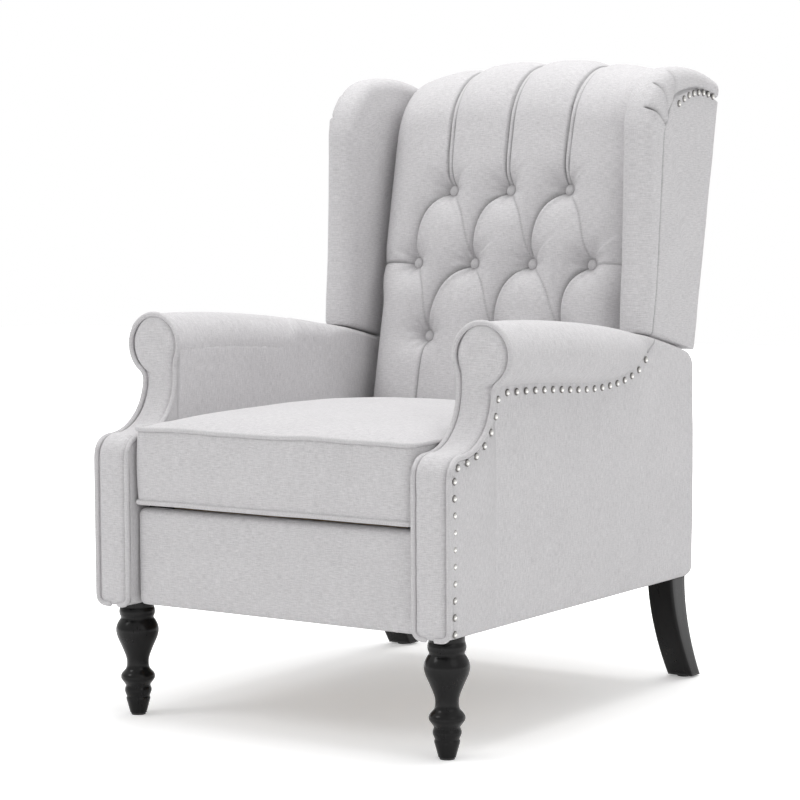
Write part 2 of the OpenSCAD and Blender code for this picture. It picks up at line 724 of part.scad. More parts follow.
// The padding is wider above the arms, between the wings
top_spread = 8;
function spread(x, u) = x + sign(x) * top_spread * ease((abs(x) - 181) / 60) * ease((u - 250) / 60);
function rolled_at(x, angle) = padding_top(x) - round_u * (1 - sin(angle));
function padding_point(x, v, n, angle, rear_n) = on_back(x, v, mix(rear_n, n, cos(angle)));
function padding_ring(u, angle, rear_u, rear_n) = let (edge = 13 * step_x + 3,
    height = function (x) u >= 0 ? row_at(x, u) : rolled_at(x, angle),
    point = function (x, n) padding_point(spread(x, height(x)), height(x), n, angle, rear_n))
    concat([on_back(spread(edge, rear_u), rear_u, rear_n), point(edge, padding_n + 60)],
        [for (i = [13:-1:-13]) let (x = i * step_x) point(x, padding_face(x, height(x)))],
        [point(-edge, padding_n + 60), on_back(spread(-edge, rear_u), rear_u, rear_n)]);
module back_cushion() {
    shelf = frame_top + fit;
    flat_rows = [for (k = [-rows_down:rows_up]) row_low + k * step_u];
    edge_top = padding_top(13 * step_x);
    rings = concat([padding_ring(frame_low, 0, frame_low, padding_n)],
        [for (u = flat_rows) padding_ring(u, 0, min(u, shelf - 6), padding_n)],
        [padding_ring(-1, 8, shelf, padding_n), padding_ring(-1, 19, shelf, fit),
        padding_ring(-1, 31, edge_top - 21, fit), padding_ring(-1, 44, edge_top - 18, fit),
        padding_ring(-1, 57, edge_top - 15, fit), padding_ring(-1, 69, edge_top - 12, fit),
        padding_ring(-1, 80, edge_top - 10, fit), padding_ring(-1, 90, edge_top - 8, fit)]);
    color(fabric) skin(rings);
}

module back_buttons() {
    color(fabric_dark) for (b = button_rows())
        lean_frame() translate([b[0], -tuft_n, b[1]]) rotate([90, 0, 0])
            rotate_extrude($fn = 32) polygon([[0, 0], [button_r, 1.7], [button_r, 3.3],
                [button_r * 0.86, 5.2], [button_r * 0.55, 6.5], [0, 7.2]]);
}

module back_outside_panel() {
    low_half = arm_inner - 6;
    color(fabric) {
        back_box(-low_half, low_half, 2, 262, -outside_t, 0);
        back_box(-wing_inner, wing_inner, 258, back_len - back_shoulder - 10, -outside_t, 0);
    }
}

// Wings: padded boards beside the back with a rolled front edge
wing_inner = wing_outer - 2 * wing_r;
function rear_plane(z) = back_foot[0] + (z - back_foot[1]) * tan(lean);
wing_low = arm_top(wing_front) + wing_gap_front;
wing_rear_low = arm_top(rear_y) + wing_gap_rear;
wing_high = body_z + wing_top_rear;
wing_n = 20;
function wing_fore(t) = let (c = [wing_front + wing_corner, wing_high + wing_rise - wing_corner],
    k = wing_n * t) k <= 10 ? [wing_front + wing_waist * sin(18 * k), mix(wing_low, c[1], k / 10)]
    : c + wing_corner * [cos(180 - 80 * (k - 10) / 10), sin(180 - 80 * (k - 10) / 10)];
function wing_aft(t) = let (z = mix(wing_rear_low, wing_high, pow(t, 0.75)))
    [rear_plane(z) - 1, z];
// A point of the wing at a share w of the way from its front to its rear line
function wing_point(x, f, d, w, crown) = [x, f[0] + d[0] * w,
    f[1] + d[1] * w + crown * w * (1 - w)];
function wing_ring(t, inset) = let (f = wing_fore(t), d = wing_aft(t) - f, long = norm(d),
    r = wing_r - inset, xc = wing_outer - wing_r, m = 10, last = 1 - inset / long,
    crown = 4 * wing_crown * ease((t - 0.8) / 0.2))
    concat([for (k = [0:m]) let (q = 90 + 180 * k / m)
        wing_point(xc + r * sin(q), f, d, (r * (1 + cos(q)) + inset) / long, crown)],
        [for (w = [0.3, 0.5, 0.75, last]) wing_point(xc - r, f, d, w, crown)],
        [for (w = [last, 0.75, 0.5, 0.3]) wing_point(xc + r, f, d, w, crown)]);
function lifted(ring, dz) = [for (p = ring) p + [0, 0, dz]];
module wing_body() {
    skin(concat([for (i = [0:wing_n]) wing_ring(i / wing_n, 0)],
        [lifted(wing_ring(1, 3), 4), lifted(wing_ring(1, 9), 7)]));
}

module wing_board_shape(grow) {
    g = grow;
    f = wing_front + wing_waist + 30;
    top = wing_high - 66;
    polygon([[f - g, wing_low + 16 - g], [rear_plane(wing_rear_low + 20) - 14 + g,
        wing_rear_low + 20 - g], [rear_plane(top) - 14 + g, top + g],
        [f + 70, top + g], [f - g, top - 62 + g]]);
}

module wing_board_body(grow) {
    side_slab(reach_out_x - grow, wing_board_t + 2 * grow) wing_board_shape(grow);
}

module wing(left) {
    color(fabric) mirrored(left) difference() {
        wing_body();
        wing_board_body(fit);
        for (i = [1, 2]) back_box(wing_inner - 5, reach_out_x + 1, rail_rows[i][0] - fit,
            rail_rows[i][0] + 44 + fit, -5, frame_t + fit);
    }
}

module wing_board(left) {
    color(timber) mirrored(left) wing_board_body(0);
}

function wing_nail_row() = let (n = 8, y0 = wing_front + 122, y1 = wing_front + 240,
    mid = wing_front + 197) [for (i = [0:n - 1]) let (y = mix(y0, y1, i / (n - 1)))
    [y, wing_high - 17 - (y < mid ? 15 * pow((mid - y) / 75, 2) : 6 * pow((y - mid) / 47, 2))]];
module wing_nails(left) {
    color(nickel) mirrored(left) for (p = wing_nail_row()) nail(wing_outer, p);
}

// Seat: frame, springs, deck and cushion
module seat_frame() {
    d = seat_frame_rear - seat_frame_front;
    color(timber) translate([-seat_x, seat_frame_front, seat_frame_low]) difference() {
        cube([2 * seat_x, d, seat_frame_h]);
        translate([seat_rail, seat_rail, -1])
            cube([2 * (seat_x - seat_rail), d - 2 * seat_rail, seat_frame_h + 2]);
    }
}

// Half of a ring in the plane, on the +X side, or on the other side with e = -1
module half_ring(r, e) {
    difference() {
        circle(r = r + spring_r, $fn = 32);
        circle(r = r - spring_r, $fn = 32);
        translate([e > 0 ? -2 * r : 0, -2 * r]) square([2 * r, 4 * r]);
    }
}

module seat_springs() {
    bars = 12;
    y0 = seat_frame_front + seat_rail / 2;
    p = (seat_frame_rear - seat_rail / 2 - y0) / bars;
    half = 20;
    color(bright_steel) for (s = [0:spring_count - 1])
        translate([(s - (spring_count - 1) / 2) * 2 * (seat_x - 14) / spring_count, y0,
            seat_frame_top]) linear_extrude(2 * spring_r) {
                for (k = [0:bars])
                    translate([-half, k * p - spring_r]) square([2 * half, 2 * spring_r]);
                for (k = [0:bars - 1]) let (e = k % 2 == 0 ? 1 : -1)
                    translate([e * half, (k + 0.5) * p]) half_ring(p / 2, e);
            }
}

module seat_deck() {
    d = seat_frame_rear - seat_frame_front;
    h = cushion_z - fit - seat_frame_top;
    color(fabric_dark) translate([-seat_x, seat_frame_front, seat_frame_top]) difference() {
        cube([2 * seat_x, d, h]);
        translate([8, 8, -1]) cube([2 * seat_x - 16, d - 16, h + 1 - deck_t]);
    }
}

// A rounded rectangle whose sides draw in between the corners
function pillow(hx, hy, r, draw, n) = let (m = n / 4) [for (q = [0:3], i = [0:m - 1])
    let (a = 90 * q, sx = (q == 0 || q == 3) ? 1 : -1, sy = q < 2 ? 1 : -1,
    t = i / (m - 1), w = min(t * 3, 1), v = max(t * 3 - 2, 0),
    start = q % 2 == 0 ? [hx, 0] : [0, hy], corner = [hx - r, hy - r],
    b = 90 * clamp(t * 3 - 1, 0, 1),
    flip = q % 2 == 0, from = flip ? b : 90 - b,
    side_t = flip ? w : v, end_t = flip ? v : w,
    arm = t < 1 / 3 ? (flip ? [hx, (hy - r) * w] : [(hx - r) * w, hy])
        : t > 2 / 3 ? (flip ? [(hx - r) * (1 - v), hy] : [hx, (hy - r) * (1 - v)])
        : corner + r * [cos(from), sin(from)],
    pull = draw * (1 - pow(max(abs(arm[0]) / hx, abs(arm[1]) / hy) < 1 ? 1
        : min(abs(arm[0]) / hx, abs(arm[1]) / hy), 2)))
    [sx * (arm[0] - (abs(arm[0]) >= hx - 0.01 ? pull : 0)),
    sy * (arm[1] - (abs(arm[1]) >= hy - 0.01 ? pull : 0))]];
// Outline of a stuffed rectangle: round corners, sides that draw in between them
function pillow(hx, hy, draw, n) = [for (i = [0:n - 1]) let (a = -360 * i / n,
    m = max(abs(cos(a)), abs(sin(a))), x = cos(a) / m, y = sin(a) / m,
    k = pow(pow(abs(x), 14) + pow(abs(y), 14), -1 / 14))
    [x * k * (hx - draw * (1 - y * y)), y * k * (hy - draw * (1 - x * x))]];
function crowned(s) = pow(max(1 - pow(s, 2.6), 0), 0.8);

module seat_cushion() {
    hy = (cushion_rear - cushion_front) / 2;
    mid = (cushion_rear + cushion_front) / 2;
    level = function (grow, z) [for (p = pillow(cushion_half, hy, cushion_draw, 72))
        let (len = norm(p)) [p[0] * (1 + grow / len), mid + p[1] * (1 + grow / len), z]];
    cap = function (s) [for (p = pillow(cushion_half, hy, cushion_draw, 72))
        [p[0] * s, mid + p[1] * s, cushion_z + cushion_t + cushion_crown * crowned(s)]];
    color(fabric) skin(concat([level(-7, cushion_z), level(0, cushion_z + 5),
        level(-1, cushion_z + 0.3 * cushion_t), level(-2, cushion_z + 0.7 * cushion_t),
        level(0, cushion_z + cushion_t - 4)],
        [for (s = [0.975, 0.93, 0.86, 0.76, 0.63, 0.47, 0.3, 0.14]) cap(s)]));
}

module seat_plate(left) {
    high = seat_frame_top + 2;
    p = upper_pivot;
    s = seat_front_pivot;
    b = seat_rear_pivot;
    color(steel) mirrored(left) side_slab(seat_x, plate_t) difference() {
        union() {
            polygon([[p[0] - 12, high], [p[0] - 12, p[1] - 6], [p[0] - 2, p[1] - 15],
                [main_pivot[0] + 16, p[1] - 15], [main_pivot[0] + 34, seat_frame_low],
                [b[0] - 40, seat_frame_low], [b[0] + eye_r, b[1] - 12],
                [b[0] + eye_r, high - 8], [b[0] + 1, high]]);
            bar_between([s[0], seat_frame_low + 6], s, 2 * eye_r);
            eye(s, eye_r);
        }
        for (q = [p, main_pivot, s, b]) eye(q, pin_r + fit / 10);
    }
}

// Rivets fixed in the seat's plates
module seat_pivot_pins() {
    color(bright_steel) both_sides() {
        for (q = [upper_pivot, main_pivot]) cross_bar(q, seat_x, main_x + plate_t, pin_r);
        for (q = [seat_front_pivot, seat_rear_pivot])
            cross_bar(q, seat_x, outer_x + plate_t, pin_r);
    }
}

// Footrest links. The main link is a bell crank with a third arm to the guide roller
module main_link(left) {
    color(steel) mirrored(left) side_slab(main_x, plate_t) difference() {
        union() {
            link_shape([main_pivot, lift_pivot, stay_pivot, main_pivot], [], []);
            bar_between(main_pivot, roller_pivot, bar_w);
            eye(roller_pivot, eye_r);
            polygon([main_pivot, lift_pivot, stay_pivot]);
        }
        eye(main_pivot, pin_r + pin_clear);
        for (q = [lift_pivot, stay_pivot, roller_pivot]) eye(q, pin_r + fit / 10);
    }
}

module cross_tube() {
    color(steel) difference() {
        cross_bar(tube_at, -main_x, main_x, tube_r);
        cross_bar(tube_at, 1 - main_x, main_x - 1, tube_r - tube_wall);
    }
}

module main_link_pins() {
    color(bright_steel) both_sides() for (q = [lift_pivot, stay_pivot])
        cross_bar(q, main_x, lift_x + plate_t, pin_r);
}

module guide_rollers() {
    color(bright_steel) both_sides() {
        cross_bar(roller_pivot, main_x, fixed_x + plate_t, pin_r);
        cross_bar(roller_pivot, fixed_x, fixed_x + plate_t, roller_r);
    }
}

module upper_link(left) {
    color(steel) mirrored(left) {
        side_slab(main_x, plate_t) difference() {
            link_shape([upper_pivot, upper_end], [], []);
            eye(upper_pivot, pin_r + pin_clear);
        }
        cross_bar(upper_end, main_x + plate_t, lift_x + plate_t, pin_r);
    }
}

// Open hole of the right lift link at the footrest, where a loop of links closes
module lift_link(left) {
    color(steel) mirrored(left) side_slab(lift_x, plate_t) difference() {
        union() {
            link_shape([upper_end, lift_pivot, rest_pivot, upper_end], [], []);
            polygon([upper_end, lift_pivot, rest_pivot]);
        }
        eye(lift_pivot, pin_r + pin_clear);
        eye(upper_end, pin_r + loop_clear);
        eye(rest_pivot, pin_r + (left ? pin_clear : loop_clear));
    }
}

module stay_link(left) {
    color(steel) mirrored(left) side_slab(lift_x, plate_t)
        link_shape([stay_pivot, stay_end], [stay_pivot, stay_end], [pin_clear, loop_clear]);
}

// Footrest: brackets, board and pad
module footrest_bracket(left) {
    f = rest_pivot;
    e = stay_end;
    y0 = board_rear;
    flange = bracket_x - 31;
    color(steel) mirrored(left) union() {
        side_slab(bracket_x, plate_t) difference() {
            union() {
                eye(f, eye_r);
                eye(e, eye_r);
                polygon([[y0, f[1] - 34], [y0 + 8, f[1] - 34], f + [0, -eye_r],
                    f + [eye_r, 0], e + [eye_r, 0], e + [-2, 5], [y0, e[1] + 3]]);
            }
            eye(f, pin_r + fit / 10);
            eye(e, pin_r + fit / 10);
        }
        translate([flange, y0, f[1] - 34])
            cube([bracket_x + plate_t - flange, plate_t, e[1] + 3 - f[1] + 34]);
    }
}

module footrest_pins() {
    color(bright_steel) both_sides() for (q = [rest_pivot, stay_end])
        cross_bar(q, lift_x, bracket_x + plate_t, pin_r);
}

module footrest_board() {
    color(timber) translate([3 - rest_half, board_rear - board_t, rest_low + 3])
        cube([2 * rest_half - 6, board_t, rest_h - 6]);
}

module footrest_pad() {
    mid = rest_low + rest_h / 2;
    rear = board_rear - board_t;
    rim = rear - pad_t + rest_crown;
    ring = function (s, y) [for (p = pillow(rest_half, rest_h / 2, 1.5, 72))
        [p[0] * s, y, mid + p[1] * s]];
    color(fabric) skin([ring(0.992, rear), ring(1, rear - 4), ring(1, rim + 4),
        ring(0.985, rim), ring(0.95, rim - rest_crown * 0.35), ring(0.88, rim - rest_crown * 0.65),
        ring(0.75, rim - rest_crown * 0.88), ring(0.5, rim - rest_crown)]);
}

centred() arm_frame(true);  // arm_frame_left
centred() arm_frame(false);  // arm_frame_right
centred() arm_cover(true);  // arm_cover_left
centred() arm_cover(false);  // arm_cover_right
centred() arm_facing(true);  // arm_facing_left
centred() arm_facing(false);  // arm_facing_right
centred() arm_nails(true);  // arm_nails_left
centred() arm_nails(false);  // arm_nails_right
centred() front_stretcher();
centred() rear_rail();
centred() rear_panel();
centred() base_plate(true);  // base_plate_left
centred() base_plate(false);  // base_plate_right
centred() base_plate_bolts();
centred() base_pivot_pins();
centred() front_leg(true);  // front_leg_left
centred() front_leg(false);  // front_leg_right
centred() rear_leg(true);  // rear_leg_left
centred() rear_leg(false);  // rear_leg_right
centred() leg_bolts();
centred() leg_glides();
centred() seat_hanger(true);  // seat_hanger_left
centred() seat_hanger(false);  // seat_hanger_right
centred() back_frame();
centred() back_webbing();
centred() back_bracket(true);  // back_bracket_left
centred() back_bracket(false);  // back_bracket_right
centred() back_cushion();
centred() back_buttons();
centred() back_outside_panel();
centred() wing(true);  // wing_left
centred() wing(false);  // wing_right
centred() wing_board(true);  // wing_board_left
centred() wing_board(false);  // wing_board_right
centred() wing_nails(true);  // wing_nails_left
centred() wing_nails(false);  // wing_nails_right
centred() seat_frame();
centred() seat_springs();
centred() seat_deck();
centred() seat_cushion();
centred() seat_plate(true);  // seat_plate_left
centred() seat_plate(false);  // seat_plate_right
centred() seat_pivot_pins();
centred() main_link(true);  // main_link_left
centred() main_link(false);  // main_link_right
centred() cross_tube();
centred() main_link_pins();
centred() guide_rollers();
centred() upper_link(true);  // upper_link_left
centred() upper_link(false);  // upper_link_right
centred() lift_link(true);  // lift_link_left
centred() lift_link(false);  // lift_link_right
centred() stay_link(true);  // stay_link_left
centred() stay_link(false);  // stay_link_right
centred() footrest_bracket(true);  // footrest_bracket_left
centred() footrest_bracket(false);  // footrest_bracket_right
centred() footrest_pins();
centred() footrest_board();
centred() footrest_pad();
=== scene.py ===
# %% [markdown]
# # A push-back wing recliner in pale linen
#
# This notebook dresses the rigid model of a recliner. The rigid model gives every wooden,
# steel and padded piece as a solid and says which body each one moves with. Here the soft
# pieces get their real covers, with pleats, buttons, welts and nails, and everything gets
# a finish. The chair's front faces -Y and +X is to the viewer's right.

# %% The frame
import math

import bmesh
import bpy
import numpy as np
from mathutils import Matrix, Vector


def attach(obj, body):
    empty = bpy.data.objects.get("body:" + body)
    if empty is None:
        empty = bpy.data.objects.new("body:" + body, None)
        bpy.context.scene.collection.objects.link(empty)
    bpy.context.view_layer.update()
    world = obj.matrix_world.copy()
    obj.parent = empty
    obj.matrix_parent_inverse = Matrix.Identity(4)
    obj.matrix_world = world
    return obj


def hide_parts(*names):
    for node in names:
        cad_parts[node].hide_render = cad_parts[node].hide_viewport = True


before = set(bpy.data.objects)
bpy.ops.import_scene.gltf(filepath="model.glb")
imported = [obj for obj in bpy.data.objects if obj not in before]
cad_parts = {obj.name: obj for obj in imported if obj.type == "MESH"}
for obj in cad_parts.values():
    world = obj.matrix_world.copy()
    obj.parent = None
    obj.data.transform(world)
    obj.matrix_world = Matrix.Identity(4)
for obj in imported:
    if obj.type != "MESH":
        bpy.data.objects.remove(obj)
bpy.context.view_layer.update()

# %% [markdown]
# The chair is drawn as its maker would: in millimetres, from a point on the floor below
# the seat. The rigid model's origin is the middle of the whole footprint, which is 29 mm
# nearer to the front, so one small function turns drawing points into the model's metres.

# %% From the drawing to the model
LEAN = math.radians(11.5)
FRONT, BACK_FOOT_Y, BACK_FOOT_Z, BACK_LEN = -450.0, 254.0, 340.0, 695.0
MIDDLE_Y = (FRONT + BACK_FOOT_Y + BACK_LEN * math.sin(LEAN)) / 2


def to_model(points):
    """Drawing millimetres to model metres: y is counted from the footprint's middle."""
    return (np.asarray(points, float) - [0, MIDDLE_Y, 0]) / 1000


print("middle of the footprint", round(MIDDLE_Y, 3), "mm from the drawing's origin")

# %% [markdown]
# ## Camera
#
# A photographer would stand about four metres away with a long lens, a little above the
# seat, and 34 degrees round from the front. The camera could be turned by tracking an
# empty, but a matrix built from its right, up and back arrows says the same in one step.

# %% Camera
AZIMUTH, ELEVATION, ROLL = np.radians([34.134, 4.5285, -0.299])
DISTANCE, FOCAL_PIXELS, PICTURE_PIXELS, SENSOR = 3.9336, 2431.06, 800, 36
back_way = np.array([math.sin(AZIMUTH) * math.cos(ELEVATION),
                     -math.cos(AZIMUTH) * math.cos(ELEVATION), math.sin(ELEVATION)])
right_way = np.array([math.cos(AZIMUTH), math.sin(AZIMUTH), 0])
up_way = np.cross(back_way, right_way)
right_turned = math.cos(ROLL) * right_way + math.sin(ROLL) * up_way
up_turned = math.cos(ROLL) * up_way - math.sin(ROLL) * right_way
aim = to_model([-66.3, 0, 467.9])
camera_data = bpy.data.cameras.new("camera")
camera_data.sensor_width = SENSOR
camera_data.lens = FOCAL_PIXELS * SENSOR / PICTURE_PIXELS
camera = bpy.data.objects.new("camera", camera_data)
bpy.context.collection.objects.link(camera)
turned = Matrix([list(row) for row in np.column_stack([right_turned, up_turned, back_way])])
camera.matrix_world = Matrix.Translation(Vector(aim + DISTANCE * back_way)) @ turned.to_4x4()
bpy.context.scene.camera = camera
print("camera lens", round(camera_data.lens, 1), "mm")

# %% [markdown]
# ## Shader maths
#
# A finish is a small recipe of numbers that change over the surface. Written as nodes such
# a recipe is hard to read, so a number is wrapped in a class whose plus, minus and times
# add the Math nodes, and one method adds any other node.

# %% A number that changes over the surface
class Amount:
    """A value socket. Sums, differences, products, quotients and powers of it add Math nodes."""

    def __init__(self, recipe, socket):
        self.recipe, self.socket = recipe, socket

    def other(self, output):
        """Another output of the same node."""
        return Amount(self.recipe, self.socket.node.outputs[output])

    def maths(self, operation, *values):
        return self.recipe.node("ShaderNodeMath", {"operation": operation}, dict(enumerate(values)))

    def __add__(self, other):
        return self.maths("ADD", self, other)

    def __sub__(self, other):
        return self.maths("SUBTRACT", self, other)

    def __rsub__(self, other):
        return self.maths("SUBTRACT", other, self)

    def __mul__(self, other):
        return self.maths("MULTIPLY", self, other)

    def __truediv__(self, other):
        return self.maths("DIVIDE", self, other)

    def __rtruediv__(self, other):
        return self.maths("DIVIDE", other, self)

    def __pow__(self, other):
        return self.maths("POWER", self, other)

    __radd__ = __add__
    __rmul__ = __mul__


# %% Recipes and finishes
class Recipe:
    """A node tree. node() adds any node and returns one of its outputs, where it has any."""

    def __init__(self, tree):
        self.tree = tree

    def node(self, kind, settings=None, inputs=None, output=0):
        made = self.tree.nodes.new(kind)
        for key, value in (settings or {}).items():
            setattr(made, key, value)
        for key, value in (inputs or {}).items():
            if isinstance(value, Amount):
                self.tree.links.new(value.socket, made.inputs[key])
            else:
                made.inputs[key].default_value = value
        return Amount(self, made.outputs[output]) if made.outputs else made

    def direct_rays(self):
        """1 for what the camera sees, straight, mirrored or through glass, and 0 for other light."""
        ray = self.node("ShaderNodeLightPath", output="Is Camera Ray")
        seen = ray.maths("MAXIMUM", ray, ray.other("Is Glossy Ray"))
        return seen.maths("MAXIMUM", seen, ray.other("Is Transmission Ray"))


class Finish(Recipe):
    """A material and its recipe. Plain values are set by name, and feed() links a varying one."""

    def __init__(self, name, **plain):
        self.material = bpy.data.materials.new(name)
        self.material.use_nodes = True
        super().__init__(self.material.node_tree)
        self.shader = self.tree.nodes["Principled BSDF"]
        for socket, value in plain.items():
            self.shader.inputs[socket.replace("_", " ")].default_value = value

    def feed(self, socket, value):
        self.tree.links.new(value.socket, self.shader.inputs[socket])

    def place(self, own_map=False):
        """Where a pattern is read: the piece's own cloth map in metres, or the object's metres."""
        return self.node("ShaderNodeTexCoord", output="UV" if own_map else "Object")

    def noise(self, where, scale, detail=2.0, rough=0.5):
        return self.node("ShaderNodeTexNoise", {}, {"Vector": where, "Scale": scale,
                                                    "Detail": detail, "Roughness": rough})

    def pulled(self, where, scale, detail=2.0, rough=0.5):
        """Noise with its own scale along each axis."""
        stretched = self.node("ShaderNodeMapping", {}, {"Vector": where, "Scale": scale})
        return self.noise(stretched, 1.0, detail, rough)

    def blend(self, share, first, second):
        """Colour first where share is 0 and second where it is 1."""
        return self.node("ShaderNodeMix", {"data_type": "RGBA"},
                         {0: share, 6: first, 7: second}, output=2)

    def coat(self, colour, rough, height, strength, distance):
        """Feeds the colour, the roughness and a bumped surface, and gives the material."""
        self.feed("Base Color", colour)
        self.feed("Roughness", rough)
        self.feed("Normal", self.node("ShaderNodeBump", {}, {"Height": height, "Strength": strength,
                                                             "Distance": distance}))
        return self.material


# %% [markdown]
# ## Linen
#
# The cover is a plain weave of pale grey and off-white yarns. Close up one sees single
# yarns, and from further away soft level streaks where a thicker, darker yarn runs. Each
# cover carries a cloth map in metres, so the same yarn is as thick on the back as on the
# arm. The weave is two sets of waves, and the streaks are noise pulled long along a yarn.
# A mark on each point says how deep it lies in a fold, and the cloth is darkened there by painted shade.

# %% Linen
YARN_WAVE = 5200.0
# The colour of the painted shade in folds, creases, tucks and seams.
FOLD_SHADE_COLOUR = (0.085, 0.082, 0.086, 1)


def linen(name, pale, dark, streak=1.0):
    finish = Finish(name, Roughness=0.92, Sheen_Weight=0.12, Sheen_Roughness=0.45)
    cloth = finish.place(own_map=True)
    weft = finish.pulled(cloth, (85, 640, 1), 3.0, 0.62)
    warp = finish.pulled(cloth, (600, 110, 1), 3.0, 0.62)
    cloud = finish.pulled(cloth, (12, 18, 1))
    fine = finish.pulled(cloth, (900, 900, 1), 1.0)
    yarn = (weft - 0.5) * 1.7 + (warp - 0.5) * 0.9 + (fine - 0.5) * 0.9
    shade = yarn * streak + (cloud - 0.5) * 0.25 + 0.5
    # deep is the painted shade given by each point's fold mark.
    deep = finish.node("ShaderNodeAttribute", {"attribute_name": "fold"}, output=2)
    across = finish.node("ShaderNodeSeparateXYZ", {}, {0: cloth})
    up = across.other(1)
    weave = across.maths("SINE", across * YARN_WAVE) * up.maths("SINE", up * YARN_WAVE)
    return finish.coat(finish.blend(deep, finish.blend(shade, dark, pale), FOLD_SHADE_COLOUR),
                       shade * -0.12 + 0.98,
                       weave * 0.35 + (weft - 0.5) * 2.0 + (warp - 0.5) * 1.6, 0.5, 0.0006)


LINEN = linen("linen", (0.735, 0.722, 0.732, 1), (0.500, 0.490, 0.500, 1))
LINEN_WELT = linen("linen_welt", (0.720, 0.707, 0.716, 1), (0.500, 0.490, 0.500, 1), 0.8)
print("linen mixed")

# %% [markdown]
# ## Wood, steel and nickel
#
# The legs are turned wood under a black satin lacquer, with a faint waviness in the coat.
# The folding links are black powder-coated steel with a fine pebbled skin, the rivets are
# zinc plated, the hidden frames are pine with long grain, and the nail heads are bright
# nickel, a little uneven from one to the next.

# %% Hard finishes
def lacquer():
    finish = Finish("black_lacquer", Roughness=0.3, Specular_IOR_Level=0.1, Coat_Weight=0.16,
                    Coat_Roughness=0.1)
    wave = finish.noise(finish.place(), 38.0, 3.0)
    grain = finish.pulled(finish.place(), (220, 220, 16), 3.0)
    colour = finish.blend(wave * 0.6 + grain * 0.4, (0.0035, 0.0035, 0.004, 1), (0.009, 0.0085, 0.0085, 1))
    return finish.coat(colour, wave * 0.12 + grain * 0.06 + 0.20, grain + wave * 2.0, 0.06, 0.0006)


def metal(name, colour, dull, rough, grain_scale, depth, metallic=1.0):
    finish = Finish(name, Metallic=metallic, Roughness=rough)
    speck = finish.noise(finish.place(), grain_scale, 3.0)
    patch = finish.noise(finish.place(), grain_scale * 0.06)
    return finish.coat(finish.blend(patch * 0.7 + speck * 0.3, dull, colour),
                       patch * 0.16 + (rough - 0.08), speck, depth, 0.0004)


def timber():
    finish = Finish("pine", Roughness=0.62)
    bend = finish.pulled(finish.place(), (6, 6, 3), 3.0)
    rings = finish.pulled(finish.place(), (90, 90, 6), 4.0, 0.6)
    colour = finish.blend(rings * 0.75 + bend * 0.25, (0.42, 0.27, 0.13, 1), (0.72, 0.53, 0.31, 1))
    return finish.coat(colour, rings * 0.2 + 0.52, rings, 0.3, 0.0008)


def plain_cloth(name, pale, dark, per_metre, rough=0.95):
    finish = Finish(name, Roughness=rough)
    weave = finish.pulled(finish.place(), (per_metre, per_metre * 0.2, per_metre))
    return finish.coat(finish.blend(weave, dark, pale), weave * 0.1 + rough - 0.08, weave, 0.5, 0.0008)


def nickel():
    """Bright on the crown and darkened by painted shade at the rim, found by the cloth map's way out from the
    crown.
    """
    finish = Finish("nickel", Metallic=1.0, Roughness=0.24)
    out = finish.node("ShaderNodeSeparateXYZ", {}, {0: finish.place(own_map=True)}, output=1) * 165.0
    worn = finish.noise(finish.place(), 170.0)
    # Painted shade darkens the rim of each head.
    rim = (out - 0.42) * 2.4
    rim = rim.maths("MINIMUM", rim.maths("MAXIMUM", rim, 0.0), 1.0)
    bright = finish.blend(worn, (0.50, 0.49, 0.47, 1), (0.74, 0.73, 0.71, 1))
    finish.feed("Base Color", finish.blend(rim, bright, (0.13, 0.125, 0.12, 1)))
    finish.feed("Roughness", worn * 0.12 + rim * 0.12 + 0.16)
    return finish.material


BLACK = lacquer()
POWDER = metal("powder_coat", (0.022, 0.022, 0.024, 1), (0.014, 0.014, 0.015, 1), 0.5, 2400, 0.5, 0.0)
ZINC = metal("zinc", (0.66, 0.67, 0.69, 1), (0.5, 0.51, 0.53, 1), 0.36, 900, 0.15)
NICKEL = nickel()
SPRING = metal("spring_wire", (0.5, 0.51, 0.53, 1), (0.3, 0.3, 0.32, 1), 0.34, 700, 0.2)
PINE = timber()
WEBBING = plain_cloth("webbing", (0.110, 0.108, 0.105, 1), (0.065, 0.064, 0.063, 1), 800)
DECK = plain_cloth("deck_cloth", (0.50, 0.50, 0.51, 1), (0.36, 0.36, 0.37, 1), 900)
NYLON = plain_cloth("nylon", (0.03, 0.03, 0.031, 1), (0.018, 0.018, 0.019, 1), 500, 0.5)

# %% Finishes on the rigid pieces
FINISHES = [
    (PINE, "arm_frame front_stretcher rear_rail back_frame wing_board seat_frame footrest_board"),
    (ZINC, "leg_bolts base_plate_bolts base_pivot_pins seat_pivot_pins main_link_pins footrest_pins"),
    (POWDER, "base_plate_left base_plate_right seat_plate seat_hanger back_bracket main_link_left "
             "main_link_right cross_tube upper_link lift_link stay_link footrest_bracket"),
    (BLACK, "rear_leg front_leg"), (NYLON, "leg_glides guide_rollers"), (SPRING, "seat_springs"),
    (WEBBING, "back_webbing"), (DECK, "seat_deck"), (NICKEL, "arm_nails wing_nails")]
RIGID = {start: finish for finish, starts in FINISHES for start in starts.split()}


def finish_of(node):
    """The finish of the longest start of a name that fits the node, and linen where none fits."""
    fits = [start for start in RIGID if node.startswith(start)]
    return RIGID[max(fits, key=len)] if fits else LINEN


for node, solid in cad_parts.items():
    solid.data.materials.clear()
    solid.data.materials.append(finish_of(node))
print(len(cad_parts), "rigid pieces finished")

# %% [markdown]
# ## From a formula to a piece
#
# Every new piece is one or more patches: grids of points worked out by a formula as whole
# arrays. One function joins the patches, closes their seams, turns the faces outwards and
# writes the cloth map, whose two numbers are the lengths along the patch in metres.

# %% Patches into a mesh
SEAM_GAP = 2e-5


def lengths(patch):
    """The cloth map of a patch: for each column and row, the mean length run so far."""
    across = np.linalg.norm(np.diff(patch, axis=1), axis=2).mean(0)
    along = np.linalg.norm(np.diff(patch, axis=0), axis=2).mean(1)
    return np.stack(np.meshgrid(np.r_[0, np.cumsum(across)], np.r_[0, np.cumsum(along)]), axis=2)


